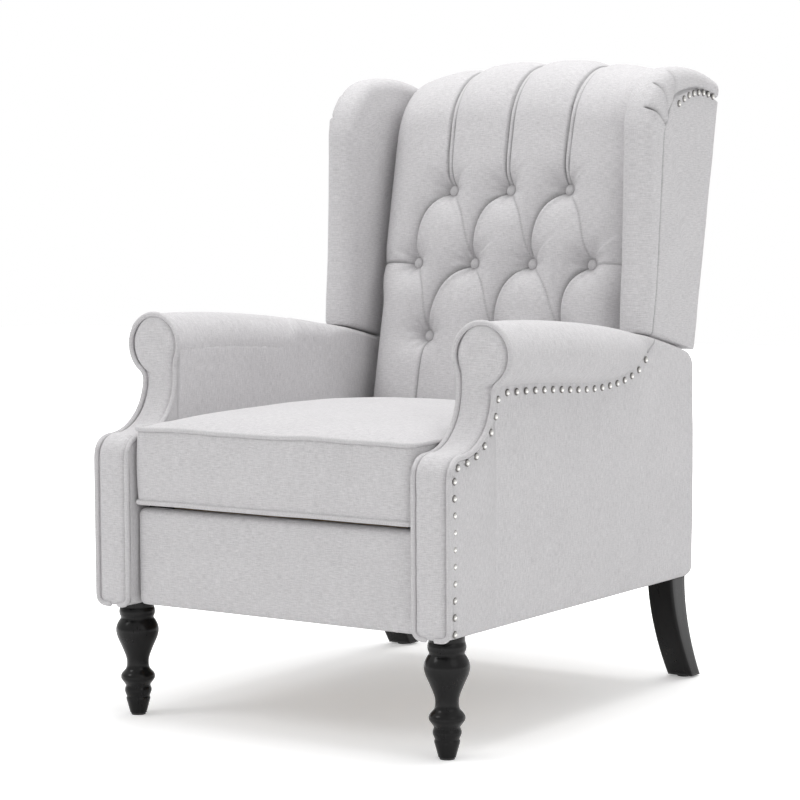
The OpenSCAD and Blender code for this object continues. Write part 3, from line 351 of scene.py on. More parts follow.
def joined(patches, maps):
    """The patches' points, four-sided faces and cloth maps as three long arrays."""
    points, quads, cloth, start = [], [], [], 0
    for patch, chart in zip(patches, maps):
        rows, cols = patch.shape[:2]
        index = np.arange(rows * cols).reshape(rows, cols)
        quad = np.stack([index[:-1, :-1], index[:-1, 1:], index[1:, 1:], index[1:, :-1]], axis=2)
        quads.append(quad.reshape(-1, 4) + start)
        points.append(patch.reshape(-1, 3))
        cloth.append(chart.reshape(-1, 2) / 1000)
        start += rows * cols
    return np.concatenate(points), np.concatenate(quads), np.concatenate(cloth)


def build(name, patches, body, replaces=(), material=LINEN, maps=None, folds=None, closed=True):
    """Joins patches (rows, columns, xyz) in drawing millimetres into one piece that rides on body.

    folds gives the painted shade of each point of the first patch, darkest deep in a fold."""
    points, quads, cloth = joined(patches, maps or [lengths(p) for p in patches])
    mesh = bpy.data.meshes.new(name)
    mesh.from_pydata(to_model(points).tolist(), [], quads.tolist())
    mesh.uv_layers.new(name="cloth").data.foreach_set("uv", cloth[quads.ravel()].ravel())
    # The fold mark carries painted shade, which darkens the linen.
    if folds is not None:
        dark = np.zeros(len(points))
        dark[:folds.size] = folds.ravel()
        mesh.attributes.new("fold", "FLOAT", "POINT").data.foreach_set("value", dark)
    shaped = bmesh.new()
    shaped.from_mesh(mesh)
    bmesh.ops.remove_doubles(shaped, verts=shaped.verts, dist=SEAM_GAP)
    if closed:
        bmesh.ops.recalc_face_normals(shaped, faces=shaped.faces)
    shaped.to_mesh(mesh)
    shaped.free()
    mesh.polygons.foreach_set("use_smooth", [True] * len(mesh.polygons))
    mesh.materials.append(material)
    piece = bpy.data.objects.new(name, mesh)
    bpy.context.collection.objects.link(piece)
    if body:
        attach(piece, body)
    if replaces:
        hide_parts(*replaces)
    print(name, len(mesh.polygons), "faces")
    return piece


# %% Small shape formulas
SIDES = (("right", 1), ("left", -1))


def both_sides(make):
    """Makes a piece at +x, and its twin with every x turned to -x."""
    return [make(side, way) for side, way in SIDES]


def mix(a, b, t):
    return a + (b - a) * t


def ease(t):
    """0 below 0, 1 above 1, and 3t^2 - 2t^3 between."""
    t = np.clip(t, 0, 1)
    return t * t * (3 - 2 * t)


def bell(d, wide, power=2):
    """1 where d is 0, falling as e to the minus (d / wide) to the power."""
    return np.exp(-(d / wide) ** power)


def quarter(t):
    """0 where t is 0, rising as a quarter circle to 1 where t is 1."""
    return 1 - np.sqrt(np.maximum(1 - np.clip(t, 0, 1) ** 2, 0))


def uneven(a, b, size, seed=0.0):
    """A soft unevenness from crossed sine waves of a and b, with waves about size long."""
    k = 2 * math.pi / size
    return (np.sin(k * a + 1.3 + seed) * np.sin(k * 0.83 * b + 0.4 + 2.1 * seed)
            + 0.6 * np.sin(k * 1.9 * a - k * 1.1 * b + 2.2 * seed + 0.9)
            + 0.5 * np.sin(k * 0.7 * a + k * 1.7 * b + seed)) / 2.1


def grid_of(x, y, z):
    """Points from three arrays, each stretched over the rows or columns that it lacks."""
    return np.stack(np.broadcast_arrays(x, y, z), axis=-1)


def unit(arrows):
    return arrows / np.linalg.norm(arrows, axis=-1, keepdims=True)


def arc(centre, radius, angles):
    """Flat points on a circle: the centre plus the radius times cosine and sine."""
    return np.asarray(centre) + radius * np.stack([np.cos(angles), np.sin(angles)], axis=-1)


def run_of(path):
    """The length run so far at each point of a line."""
    return np.r_[0, np.cumsum(np.linalg.norm(np.diff(path, axis=0), axis=1))]


def even(path, step):
    """The same line with points about one step apart, measured along it."""
    path = np.asarray(path, float)
    run = run_of(path)
    at = np.linspace(0, run[-1], max(int(run[-1] / step), 2) + 1)
    return np.stack([np.interp(at, run, path[:, k]) for k in range(path.shape[1])], axis=1)


def softened(path, reach):
    """The line with its corners eased: each point becomes the mean of its neighbours in reach."""
    window = np.hanning(2 * reach + 3)[1:-1]
    window /= window.sum()
    padded = np.concatenate([np.repeat(path[:1], reach, 0), path, np.repeat(path[-1:], reach, 0)])
    eased = np.stack([np.convolve(padded[:, k], window, "valid") for k in range(path.shape[1])], axis=1)
    eased[0], eased[-1] = path[0], path[-1]
    return eased


def tube(path, radius):
    """A round cord of cloth: at each point of the path a circle square to it, and pointed ends."""
    path = np.asarray(path, float)
    way = unit(np.gradient(path, axis=0))
    side = unit(np.cross(way, [0.13, 0.21, 0.97]))
    up = np.cross(side, way)
    turn = np.linspace(0, 2 * math.pi, 11)
    ring = side[:, None] * np.cos(turn)[None, :, None] + up[:, None] * np.sin(turn)[None, :, None]
    size = np.full(len(path), float(radius))
    size[[0, -1]] = 0
    return path[:, None] + ring * size[:, None, None]


def capped(grid):
    """Closes a sleeve of rows: a row is added at each end with all its points in the middle."""
    ends = [np.broadcast_to(grid[k].mean(0), (1,) + grid.shape[1:]) for k in (0, -1)]
    return np.concatenate([ends[0], grid, ends[1]])


def rounded_loop(x0, x1, z0, z1, r, low_r=None, side=26):
    """Points round a rectangle with rounded corners, and how far each faces +x.

    Corners are quarter circles of radius r above and low_r below. Every size may differ by row."""
    bend = np.linspace(0, math.pi / 2, 7)
    parts = []
    for k, (a, b, c, d) in enumerate([(1, 0, 1, 1), (1, 1, 0, 1), (0, 1, 0, 0), (0, 0, 1, 0)]):
        angle = bend + (k - 1) * math.pi / 2
        t = np.linspace(0, 1, (side if k in (0, 2) else 7) + 2)[1:-1]
        for u, v, turn in ((a, b, angle), (mix(a, c, t), mix(b, d, t), angle[-1])):
            parts.append(np.stack(np.broadcast_arrays(u, v, np.cos(turn), np.sin(turn)), 1))
    loop = np.concatenate(parts + [parts[0][:1]])
    s, t, across, up = loop.T
    sizes = x0, x1, z0, z1, r, r if low_r is None else low_r
    x0, x1, z0, z1, r, low_r = [np.atleast_1d(np.asarray(v, float))[:, None] for v in sizes]
    round_r = mix(low_r, r, t)
    x = x0 + round_r + (x1 - x0 - 2 * round_r) * s + round_r * across
    z = z0 + low_r + (z1 - z0 - low_r - r) * t + round_r * up
    return x, z, np.broadcast_to(across, x.shape)


# %% [markdown]
# ## Arms
#
# An arm is a boxed panel with a roll of padding along its top outer edge. Its front is
# closed by a padded facing that follows the scroll of the roll and the sweep below it, and
# a welt is sewn into both edges of the facing. The panel is a rounded rectangle carried
# along y, whose top follows the sweep in front and the falling arm top behind.

# %% Lines of the arm
BODY_Z, ARM_IN, ARM_OUT, BELLY = 177.0, 258.0, 319.0, 3.2
ROLL_FACE, ROLL_X, ROLL_R, ROLL_TOP, ROLL_LONG = -332.0, 301.0, 48.0, 616.0, 620.0
ROLL_Z = ROLL_TOP - ROLL_R
KNEE_Y, KNEE_Z, KNEE_R = -422.0, 404.0, 28.0
HOLLOW_Y, HOLLOW_Z, HOLLOW_R = -420.0, 520.0, 88.0
PANEL_REAR, REAR_TURN = 262.0, 26.0
FALL_Y, FALL_LONG, CREASES_FRONT, CREASES_REAR, CREASE_PITCH = -110.0, 250.0, -305.0, 60.0, 24.4


def arm_top(y):
    """Height of the arm: it falls by 77 mm towards the rear as the power 2.2 of the way back."""
    return ROLL_TOP - 77 * np.clip((y - ROLL_FACE) / ROLL_LONG, 0, 1) ** 2.2


def roll_fall(y):
    """How far the roll has run out, from 0 to 1."""
    return np.clip((y - FALL_Y) / FALL_LONG, 0, 1)


def roll_size(y):
    """Radius of the roll: full in front, then falling as a quarter circle until it has run out."""
    return np.maximum(ROLL_R * np.sqrt(np.maximum(1 - roll_fall(y) ** 2, 0)), 8)


def roll_seam(y):
    """Height of the nails under the roll: where it meets the flat panel, less the head's room."""
    r = roll_size(y)
    reach = ARM_OUT - ROLL_X
    return arm_top(y) - r - np.sqrt(np.maximum(r * r - reach * reach, 0)) - 9.0


def sweep_height(y):
    """Top of the panel in front of the roll: a shoulder of radius 28, then a hollow of radius 88."""
    knee = KNEE_Z + np.sqrt(np.maximum(KNEE_R ** 2 - (y - KNEE_Y) ** 2, 0))
    hollow = HOLLOW_Z - np.sqrt(np.maximum(HOLLOW_R ** 2 - (y - HOLLOW_Y) ** 2, 0))
    return np.where(y < -421, knee, hollow)


def panel_top(y):
    behind = arm_top(y) - ROLL_R * (1 - ease(roll_fall(y) * 2.2))
    return np.where(y < ROLL_FACE, sweep_height(y), np.maximum(behind, HOLLOW_Z))


def panel_belly(z, top):
    """The panel's swell: half a sine wave from its underside to its top."""
    return BELLY * np.sin(math.pi * np.clip((z - BODY_Z) / np.maximum(top - BODY_Z, 1), 0, 1))


def panel_swell(y, z, top, way):
    """How far the panel's face stands out: its belly, the upright creases that the nails draw
    below the roll, and a soft unevenness."""
    pull = bell(np.maximum(roll_seam(y) - z, 0), 21, 1)
    pull = pull * ease((y - CREASES_FRONT) / 20) * (1 - ease((y - CREASES_REAR) / 60))
    waves = np.sin(y * 2 * math.pi / CREASE_PITCH + 0.5 * np.sin(z / 9)) * (0.7 + 0.3 * np.sin(y / 23))
    return panel_belly(z, top) + 1.25 * pull * waves + 0.6 * uneven(y, z, 130.0, way)


# %% Arm panels and rolls
def arm_panel(side, way):
    front = np.array([FRONT, FRONT + 0.4, FRONT + 1.5])
    knee = KNEE_Y - KNEE_R * np.cos(np.linspace(0.06, math.pi / 2, 9))[1:]
    hollow = HOLLOW_Y + HOLLOW_R * np.sin(np.linspace(0.04, 1.45, 22))
    turn = np.linspace(0, math.pi / 2, 12)[1:]
    y = np.concatenate([front, knee, hollow, np.linspace(ROLL_FACE + 0.5, PANEL_REAR, 160),
                        PANEL_REAR + REAR_TURN * np.sin(turn)])
    fold, nose = np.zeros((2, len(y)))
    fold[-len(turn):], nose[:3] = 1 - np.cos(turn), [1.0, 0.55, 0.15]
    top = panel_top(y) - 24 * fold - 2.5 * nose
    low = BODY_Z + 15 * fold + 2.5 * nose
    inset = 8 * fold + 3 * nose
    r = 9 + 20 * ease((y - FALL_Y) / 60) * (1 - ease((y - 50) / 90))
    x, z, out = rounded_loop(ARM_IN + inset, ARM_OUT - inset, low, top, r, 9, side=44)
    y, top, fold = y[:, None], top[:, None], fold[:, None]
    soft = panel_swell(y, z, top, way) - fold * panel_belly(z, top)
    hang = np.maximum(roll_size(y) - ROLL_X + ARM_IN, 0) * ease((z - 430) / 130) * (y > ROLL_FACE)
    inner = out < -0.3
    x = x + np.where(out > 0.3, soft * out, 0.5 * soft * out * inner) - hang * inner
    return build("arm_panel_" + side, [capped(grid_of(x * way, y, z))], "base", ["arm_cover_" + side])


def arm_roll(side, way):
    y = np.concatenate([[-331], np.linspace(-330, 132, 96)])[:, None]
    r = roll_size(y)
    turn = np.linspace(0, 2 * math.pi, 57)[None]
    plump = 1 + 0.008 * np.sin(3 * turn + y / 60)
    x = ROLL_X + r * plump * np.sin(turn) + 0.35 * uneven(y, r * turn, 90.0)
    z = arm_top(y) - r + r * plump * np.cos(turn)
    return build("arm_roll_" + side, [capped(grid_of(x * way, y, z))], "base")


def roll_end(side, way):
    """The folded edge of the roll's cloth: a thin cord from the last nail over the arm's top."""
    y = np.linspace(122, 156, 30)
    z = mix(roll_seam(118.0) + 7, arm_top(156.0), ((y - 122) / 34) ** 0.85)
    fall = np.maximum(z - arm_top(y) + 12, 0)
    x = ARM_OUT + panel_swell(y, z, arm_top(y), way) + 0.5 - 12 + np.sqrt(np.maximum(144 - fall ** 2, 0))
    across = grid_of(np.linspace(x[-1], ARM_OUT - 26, 8)[1:], np.linspace(156.5, 160, 7),
                     arm_top(158.0) + 0.2)
    path = np.concatenate([grid_of(x, y, z), across]) * [way, 1, 1]
    grid = tube(softened(even(path, 2.5), 2), 1.5)
    # The whole cord gets an even painted shade, for the crease of the folded edge.
    return build("roll_end_" + side, [grid], "base", material=LINEN_WELT, folds=np.full(grid.shape[:2], 0.3))


for make in (arm_panel, arm_roll, roll_end):
    both_sides(make)

# %% [markdown]
# The facing is a strip of padded cloth. Its rows follow the front line of the arm from the
# underside up the straight, round the shoulder, through the hollow and up the face of the
# roll. Its width is that of the arm, and widens to the circle of the roll at the top. The
# welt is a cord in a bias strip, sewn in all round the strip's edge.

# %% Arm facings and welts
LINE_STEP, TUCK_R, WELT_R = 4.0, 11.0, 4.1
FACE_LOW, PULLS_Z, WELT_IN_TOP, WELT_OUT_TOP = 515.0, 455.0, 543.0, 518.0


def front_line():
    """The arm's front edge as [y, z], from the underside to the roll's top, in even steps."""
    return even(np.concatenate([
        [[FRONT, BODY_Z]], [[FRONT, KNEE_Z]],
        arc((KNEE_Y, KNEE_Z), KNEE_R, np.linspace(math.pi, math.pi / 2, 20)),
        arc((HOLLOW_Y, HOLLOW_Z), HOLLOW_R, np.linspace(-math.pi / 2, 0, 40)),
        [[ROLL_FACE, ROLL_TOP]]]), LINE_STEP)


def facing_edges(z, on_face):
    """Inner and outer edge of the facing: the arm's width, widened to the roll's circle on its face."""
    half = np.sqrt(np.maximum(ROLL_R ** 2 - (z - ROLL_Z) ** 2, 0))
    upper = on_face & (z > ROLL_Z)
    inner = np.where(on_face, np.minimum(ARM_IN, ROLL_X - half), ARM_IN)
    outer = np.where(on_face, np.maximum(ARM_OUT, ROLL_X + half), ARM_OUT + 2)
    return np.where(upper, ROLL_X - half, inner), np.where(upper, ROLL_X + half, outer)


def tucked(z):
    """How far the facing's lower corners are rounded in at a height: a quarter circle."""
    return TUCK_R * quarter((BODY_Z + TUCK_R - z) / TUCK_R)


def arm_facing(side, way):
    line = front_line()
    slope = unit(np.gradient(line, axis=0))
    y, z = line.T
    inner, outer = facing_edges(z, (y > ROLL_FACE - 1.5) & (z > FACE_LOW))
    inner, outer = (inner + tucked(z))[:, None], (outer - tucked(z))[:, None]
    y, z = y[:, None], z[:, None]
    steep = np.where(z > ROLL_Z, np.sqrt(np.clip(1 - ((z - ROLL_Z) / ROLL_R) ** 2, 0, 1)), 1)
    share = np.concatenate([[0, 0.02], np.linspace(0.05, 0.95, 31), [0.98, 1]])[None]
    x = mix(inner, outer, share)
    edge = np.minimum(share, 1 - share) * (outer - inner)
    pillow = (4.6 * ease((edge - 3.5) / 12) * steep - 4.2 * (1 - ease((edge - 3.5) / 5))
              + 1.2 * (edge / 30).clip(0, 1))
    along = np.arange(len(z))[:, None] * LINE_STEP
    hollow = along[np.argmin(np.abs(z - PULLS_Z))]
    pulls = bell(along - hollow, 34) * np.sin(along * 0.72 + share * 2.0) * np.sin(math.pi * share) ** 2
    soft = 0.45 * uneven(x, z, 60.0) + 0.85 * pulls
    depth = (pillow + soft * (edge > 5)) * (0.2 + 0.8 * ease((z - BODY_Z) / 14))
    depth[:, [0, -1]] = -9
    depth = np.concatenate([depth, np.full(z.shape, -10.0), depth[:, :1]], 1)
    x = np.concatenate([x, (inner + outer) / 2, x[:, :1]], 1)
    grid = grid_of(x * way, y - slope[:, 1:] * depth, z + slope[:, :1] * depth)
    return build("arm_facing_cover_" + side, [capped(grid)], "base", ["arm_facing_" + side])


def arm_welt(side, way):
    line = front_line()
    low, down = line[line[:, 1] < WELT_IN_TOP], line[line[:, 1] < WELT_OUT_TOP][::-1]
    inner = grid_of(ARM_IN + 3.0 + tucked(low[:, 1]), low[:, 0] - 1.0, low[:, 1])
    outer = grid_of(ARM_OUT + 1.2 - tucked(down[:, 1]), down[:, 0] - 1.0, down[:, 1])
    x, z = arc((ROLL_X, ROLL_Z), ROLL_R - 0.5, np.radians(np.linspace(208, -63, 60))).T
    circle = grid_of(x, ROLL_FACE - 1.6, z)
    start, stop = [[[x, FRONT - 1.0, BODY_Z + 0.6]] for x in (ARM_IN + 26, ARM_OUT - 26)]
    path = np.concatenate([start, inner, circle, outer, stop])
    path = softened(even(path, 3.0), 3) * [way, 1, 1]
    return build("arm_welt_" + side, [tube(path, WELT_R)], "base", material=LINEN_WELT)


both_sides(arm_facing)
both_sides(arm_welt)

# %% [markdown]
# ## Nail heads
#
# On each arm 35 nails hold and trim the edge of the facing and the seam under the roll. A
# head is a low dome with a small rim. One dome is a profile turned on its axis, and the
# same small grid is set down at every place as one array.

# %% Nail heads
NAIL_INSET = 12.0
NAIL_OUT = np.array([0.0, 1.6, 3.1, 4.4, 5.2, 5.5, 5.5, 4.6])[:, None]
NAIL_HIGH = np.array([3.0, 2.85, 2.35, 1.5, 0.75, 0.3, -0.2, -1.0])[:, None]


def arm_nail_places():
    """Ten up the straight, one at the knee, six round the sweep and eighteen under the roll."""
    straight = np.stack([np.full(10, FRONT + NAIL_INSET), np.linspace(186, 400, 10)], 1)
    sweep = arc((HOLLOW_Y, HOLLOW_Z), HOLLOW_R + 10, np.radians(np.linspace(-81, -8, 6)))
    t = np.linspace(0, 1, 18)
    y = mix(-298, 116, t * (1.08 - 0.08 * t))
    return np.concatenate([straight, [[FRONT + 21, 418]], sweep, np.stack([y, roll_seam(y)], 1)])


def nails(name, x, places, way, body, replaces):
    """A dome per place: radius 5.5, height 3, its profile near a quarter ellipse with a thin rim."""
    turn = np.linspace(0, 2 * math.pi, 15)
    grids = [grid_of((x + NAIL_HIGH) * way, y + NAIL_OUT * np.cos(turn), z + NAIL_OUT * np.sin(turn))
             for y, z in places]
    return build(name, grids, body, replaces, NICKEL)


for side, way in SIDES:
    nails("arm_nail_heads_" + side, ARM_OUT + 1.6, arm_nail_places(), way, "base", ["arm_nails_" + side])

# %% [markdown]
# ## Tufted back
#
# The back is the piece that takes most skill. Ten covered buttons are drawn deep into the
# padding. Between them the cloth is folded into diamonds: the fold that runs down to the
# left of a button is deep and bellied, and the one to the right is a thin crease. From the
# top buttons straight tucks run up over the top. A height formula over width and length
# gives all of this, because the cloth never doubles back far enough to hide behind itself.

# %% The back's own coordinates
HALF, CROWN, TUFT, ROUND = 246.0, 141.0, 112.0, 125.0
PITCH, LOW_PITCH, ROW_LOW, ROW_MID, ROW_TOP = 113.16, 132.02, 204.0, 328.5, 453.0
PAD_EDGE, REAR_STEP, REAR_DEEP = 26.5, 629.0, 27.0


def on_back(x, u, n):
    """A point x across, u up the lean from its foot, and n forward of the rear plane."""
    return grid_of(x, BACK_FOOT_Y + u * math.sin(LEAN) - n * math.cos(LEAN),
                   BACK_FOOT_Z + u * math.cos(LEAN) + n * math.sin(LEAN))


BUTTONS = np.array([[k * PITCH, ROW_TOP] for k in (-1, 0, 1)]
                   + [[k * PITCH, ROW_MID] for k in (-1.5, -0.5, 0.5, 1.5)]
                   + [[k * LOW_PITCH, ROW_LOW] for k in (-1, 0, 1)])


def fold_lines():
    """Deep folds and thin creases, each a line of points between two buttons with a belly to one side."""
    t = np.linspace(0, 1, 41)[:, None]

    def bent(a, b, belly, lead):
        a, b = np.array(a, float), np.array(b, float)
        across = np.array([-(b - a)[1], (b - a)[0]]) / np.linalg.norm(b - a)
        return mix(a, b, t) + across * (belly * np.sin(math.pi * t) + lead * np.sin(2 * math.pi * t))

    deep, thin = [], []
    for k in (-1, 0, 1):
        top, low = (k * PITCH, ROW_TOP), (k * LOW_PITCH, ROW_LOW)
        left, right = ((k - 0.5) * PITCH, ROW_MID), ((k + 0.5) * PITCH, ROW_MID)
        deep += [bent(top, left, -19, -2.0), bent(right, low, -19, -2.0)]
        thin += [bent(top, right, 12, 3.0), bent(left, low, 12, 3.0)]
    return deep, thin


def nearest(x, u, line):
    """Distance from each point to a line of points, the side of it, and how far along it."""
    flat = np.stack([x.ravel(), u.ravel()], 1)
    gap = flat[:, None] - line[None]
    far = np.einsum("ijk,ijk->ij", gap, gap)
    near = far.argmin(1)
    way = np.gradient(line, axis=0)[near]
    arrow = gap[np.arange(len(flat)), near]
    side = np.sign(way[:, 0] * arrow[:, 1] - way[:, 1] * arrow[:, 0])
    found = np.sqrt(far.min(1)), side, near / (len(line) - 1)
    return [each.reshape(x.shape) for each in found]


# %% Height of the padding
def fold_drops(x, u):
    """What folds and creases take away, the painted shade along them, and the lip over each deep fold."""
    deep, thin = fold_lines()
    drop, dark, lip = np.zeros((3,) + x.shape)
    for line in deep:
        d, side, along = nearest(x, u, line)
        over, fade = side > 0, 1 - 0.55 * along ** 2
        belly = np.where(over, 7.0 * bell(d, 26, 1.5), 19.0 * bell(d, 30, 1.25))
        cut = np.where(over, 9.0 * bell(d, 2.2), 8.0 * bell(d, 4.5, 1.5))
        drop = np.maximum(drop, belly + cut)
        # Painted shade: a dark line on each fold and a wider soft shadow beside it, fainter towards its lower
        # end.
        crease = np.where(over, bell(d, 1.7), bell(d, 2.6, 1.5))
        shadow = np.where(over, 0.10 * bell(d, 6, 1), 0.22 * bell(d, 9, 1.2))
        dark = np.maximum(dark, fade * np.maximum(crease, shadow))
        lip = np.maximum(lip, np.where(over, 1.6 * bell(d - 6.5, 3.5), 0))
    for line in thin:
        d = nearest(x, u, line)[0]
        drop = np.maximum(drop, 7.5 * bell(d, 27, 1.4) + 2.6 * bell(d, 2.0, 1.5))
        dark = np.maximum(dark, 0.4 * bell(d, 1.6))
    return drop, dark, lip


def tuck_drops(x, u):
    """The same for the straight tucks: up from the top row, down from the low one, and out to the
    sides from the middle one. Those that run up have a seam at each edge of a flat pleat."""
    drop, dark = np.zeros((2,) + x.shape)

    # Each tuck takes depth away and gives a line of painted shade along it.
    def tuck(share, wide_bell, cut, line):
        return np.maximum(drop, share * (wide_bell + cut)), np.maximum(dark, share * line)

    for k in (-1, 0, 1):
        d = np.abs(x - k * PITCH * (1 + 0.05 * np.clip((u - ROW_TOP) / 236, 0, 1)))
        off = d - (3.2 + 1.4 * ease((u - ROW_TOP) / 60))
        drop, dark = tuck(ease((u - ROW_TOP + 4) / 16), 10.5 * bell(d, 27, 1.35),
                          5.5 * bell(off, 1.5) + 1.5 * (off < 0), 0.75 * bell(off, 1.3))
        d = np.abs(x - k * LOW_PITCH)
        drop, dark = tuck(ease((ROW_LOW + 4 - u) / 16), 9.0 * bell(d, 26, 1.4),
                          4.5 * bell(d, 2.4, 1.6), 0.6 * bell(d, 1.5))
    d = np.abs(u - ROW_MID + 1)
    # firm scales the depth of each side's tuck, and deep its painted shade.
    for s, firm, deep in ((-1, 1.0, 0.64), (1, 0.6, 0.32)):
        out = ease((s * x - 1.5 * PITCH + 4) / 14)
        drop, dark = tuck(out, firm * 8.0 * bell(d, 22, 1.4), firm * 5.0 * bell(d, 2.2, 1.6),
                          deep * bell(d, 1.6))
    return drop, dark


def padding_height(x, u):
    """The crown less what folds, tucks, buttons and edges take away, and the painted shade of each point."""
    drop, dark, lip = fold_drops(x, u)
    tucks, tucks_dark = tuck_drops(x, u)
    drop = np.maximum(drop, tucks) - lip
    pits, rays, well = np.zeros((3,) + x.shape)
    for bx, bu in BUTTONS:
        r = np.hypot(x - bx, u - bu)
        pits = np.maximum(pits, bell(np.maximum(r - 4.5, 0), 17, 1.25))
        turn = np.arctan2(u - bu, x - bx)
        rays += 2.1 * bell(r - 20, 10) * np.sin(9 * turn + bx * 0.13 + bu * 0.07)
        well = np.maximum(well, bell(np.maximum(r - 8.5, 0), 5.0, 1.5))
    side = np.sqrt(np.maximum(1 - np.minimum(np.abs(x) / (HALF + 2.5), 1) ** 11, 0))
    full = CROWN + 2 - 22 * ease((60 - u) / 70)
    n = PAD_EDGE + (full - PAD_EDGE - drop + rays) * side
    n = mix(n, TUFT - 6.0, pits * side) - 2.0 * well * side
    # The painted shade is the darkest of the folds', the tucks' and the button wells'.
    return n, np.clip(np.maximum(np.maximum(dark, tucks_dark), 0.28 * well), 0, 1)


def padding_top(x):
    """Top of the back: it falls towards the wings, and dips a little at each tuck."""
    dips = np.max([bell(np.abs(x - k * PITCH * 1.05), 15, 1.3) for k in (-1, 0, 1)], axis=0)
    return BACK_LEN + 2 - 34 * (np.abs(x) / HALF) ** 2.4 - 9.5 * dips


# %% The padded back
def tufted_back():
    """The face of the padding, rolled back over the top, and its rear, sides, foot and top seam.

    The rear lies in front of the frame up to REAR_STEP, and on the rear plane from there up."""
    x = np.linspace(-HALF - 1.6, HALF + 1.6, 249)
    u_flat = np.concatenate([[8.0], np.linspace(10, BACK_LEN - ROUND - 34, 268)])[:, None]
    lift = np.clip((u_flat - ROW_TOP) / (u_flat[-1] - ROW_TOP), 0, 1)
    u = np.where(u_flat <= ROW_TOP, u_flat, ROW_TOP + lift * (padding_top(x) - ROUND - ROW_TOP))
    angle = np.linspace(0, math.pi / 2, 60)[1:, None]
    u = np.concatenate([u, padding_top(x) - ROUND * (1 - np.sin(angle))])
    n, dark = padding_height(np.broadcast_to(x, u.shape), u)
    turned = np.concatenate([0 * u_flat, angle])
    wide = x + 8 * ease((np.abs(x) - 181) / 60) * ease((u - 250) / 60) * np.sign(x)
    face = on_back(wide, u, mix(1.0, n, np.cos(turned)))
    low = u < REAR_STEP
    rear_u = np.where(low, np.minimum(u, REAR_STEP - 7),
                      np.maximum(np.minimum(u, padding_top(x) - 9), REAR_STEP + 1))
    rear = on_back(wide, rear_u, np.where(low, REAR_DEEP, 1.0))
    sides = [np.linspace(face[:, k], rear[:, k], 8, axis=1) for k in (0, -1)]
    snap = (np.arange(len(x)) + 4) // 8 * 8
    ends = [np.stack([face[k], rear[k, snap]]) for k in (0, -1)]
    return build("tufted_back", [face, rear[:, ::8]] + sides + ends, "back", ["back_cushion"], folds=dark)


back_pad = tufted_back()

# %% Covered buttons
def covered_buttons():
    """Each button is a cloth-covered dome, 9.6 in radius, its cloth drawn in behind the rim."""
    out = np.array([0, 2.2, 4.4, 6.4, 8.0, 9.1, 9.6, 9.3, 8.2, 7.0])[:, None]
    high = np.array([7.4, 7.25, 6.8, 6.0, 4.9, 3.4, 1.8, 0.4, -0.6, -1.2])[:, None]
    turn = np.linspace(0, 2 * math.pi, 29)
    r = out + 0.16 * np.sin(11 * turn) * ease((out - 6) / 3)
    grids = [on_back(bx + r * np.cos(turn), bu + r * np.sin(turn), TUFT - 7.0 + high)
             for bx, bu in BUTTONS]
    return build("button_covers", grids, "back", ["back_buttons"], LINEN_WELT)


covered_buttons()

# %% [markdown]
# ## Wings
#
# A wing is a board wrapped in padding with a fat roll along its front and top edge. The
# outside panel is set in behind the roll, and where the roll turns the top corner its cloth
# is gathered in three pleats. The grid's rows start on the wing's edge, spaced up the front
# and over the corner, and go in to its lower rear corner. One grid serves both faces.

# %% Lines of the wing
WING_FRONT, WING_WAIST, WING_R, WING_X, WING_CORNER, WING_BACK = 122.0, 8.0, 26.0, 286.0, 104.0, 12.0
WING_LOW, WING_REAR_LOW, WING_HIGH, WING_DEEP = 580.5, 545.5, 979.0, 74.0
SEAM_AT, SEAM_IN = [0, 60, 160, 310, 362, 410, 470, 540], [33, 42, 47, 57, 63, 58, 43, 34, 31]
PLEATS = ((330.0, 26.0), (362.0, 46.0), (428.0, 30.0))


def rear_point(z):
    """A point of the wing's rear edge at height z, just behind the back's rear plane."""
    return np.array([BACK_FOOT_Y + (z - BACK_FOOT_Z) * math.tan(LEAN) + 2.2, z])


def wing_outline():
    """The wing's edge as [y, z]: up the front with its slight waist, round the corner, along the top."""
    k = np.linspace(0, 1, 60)[:, None]
    centre = np.array([WING_FRONT + WING_BACK + WING_CORNER, WING_HIGH + 20 - WING_CORNER])
    up = np.hstack([WING_FRONT + WING_WAIST * np.sin(math.pi * k) ** 2 + WING_BACK * ease((k - 0.45) / 0.55),
                    mix(WING_LOW, centre[1], k)])
    corner = arc(centre, WING_CORNER, np.radians(180 - 80 * k[:, 0]))
    top = mix(corner[-1], rear_point(WING_HIGH + 6), k) + [0, 1] * (42 * k * (1 - k) - 2 * k ** 6)
    return np.concatenate([up[:-1], corner[:-1], top])


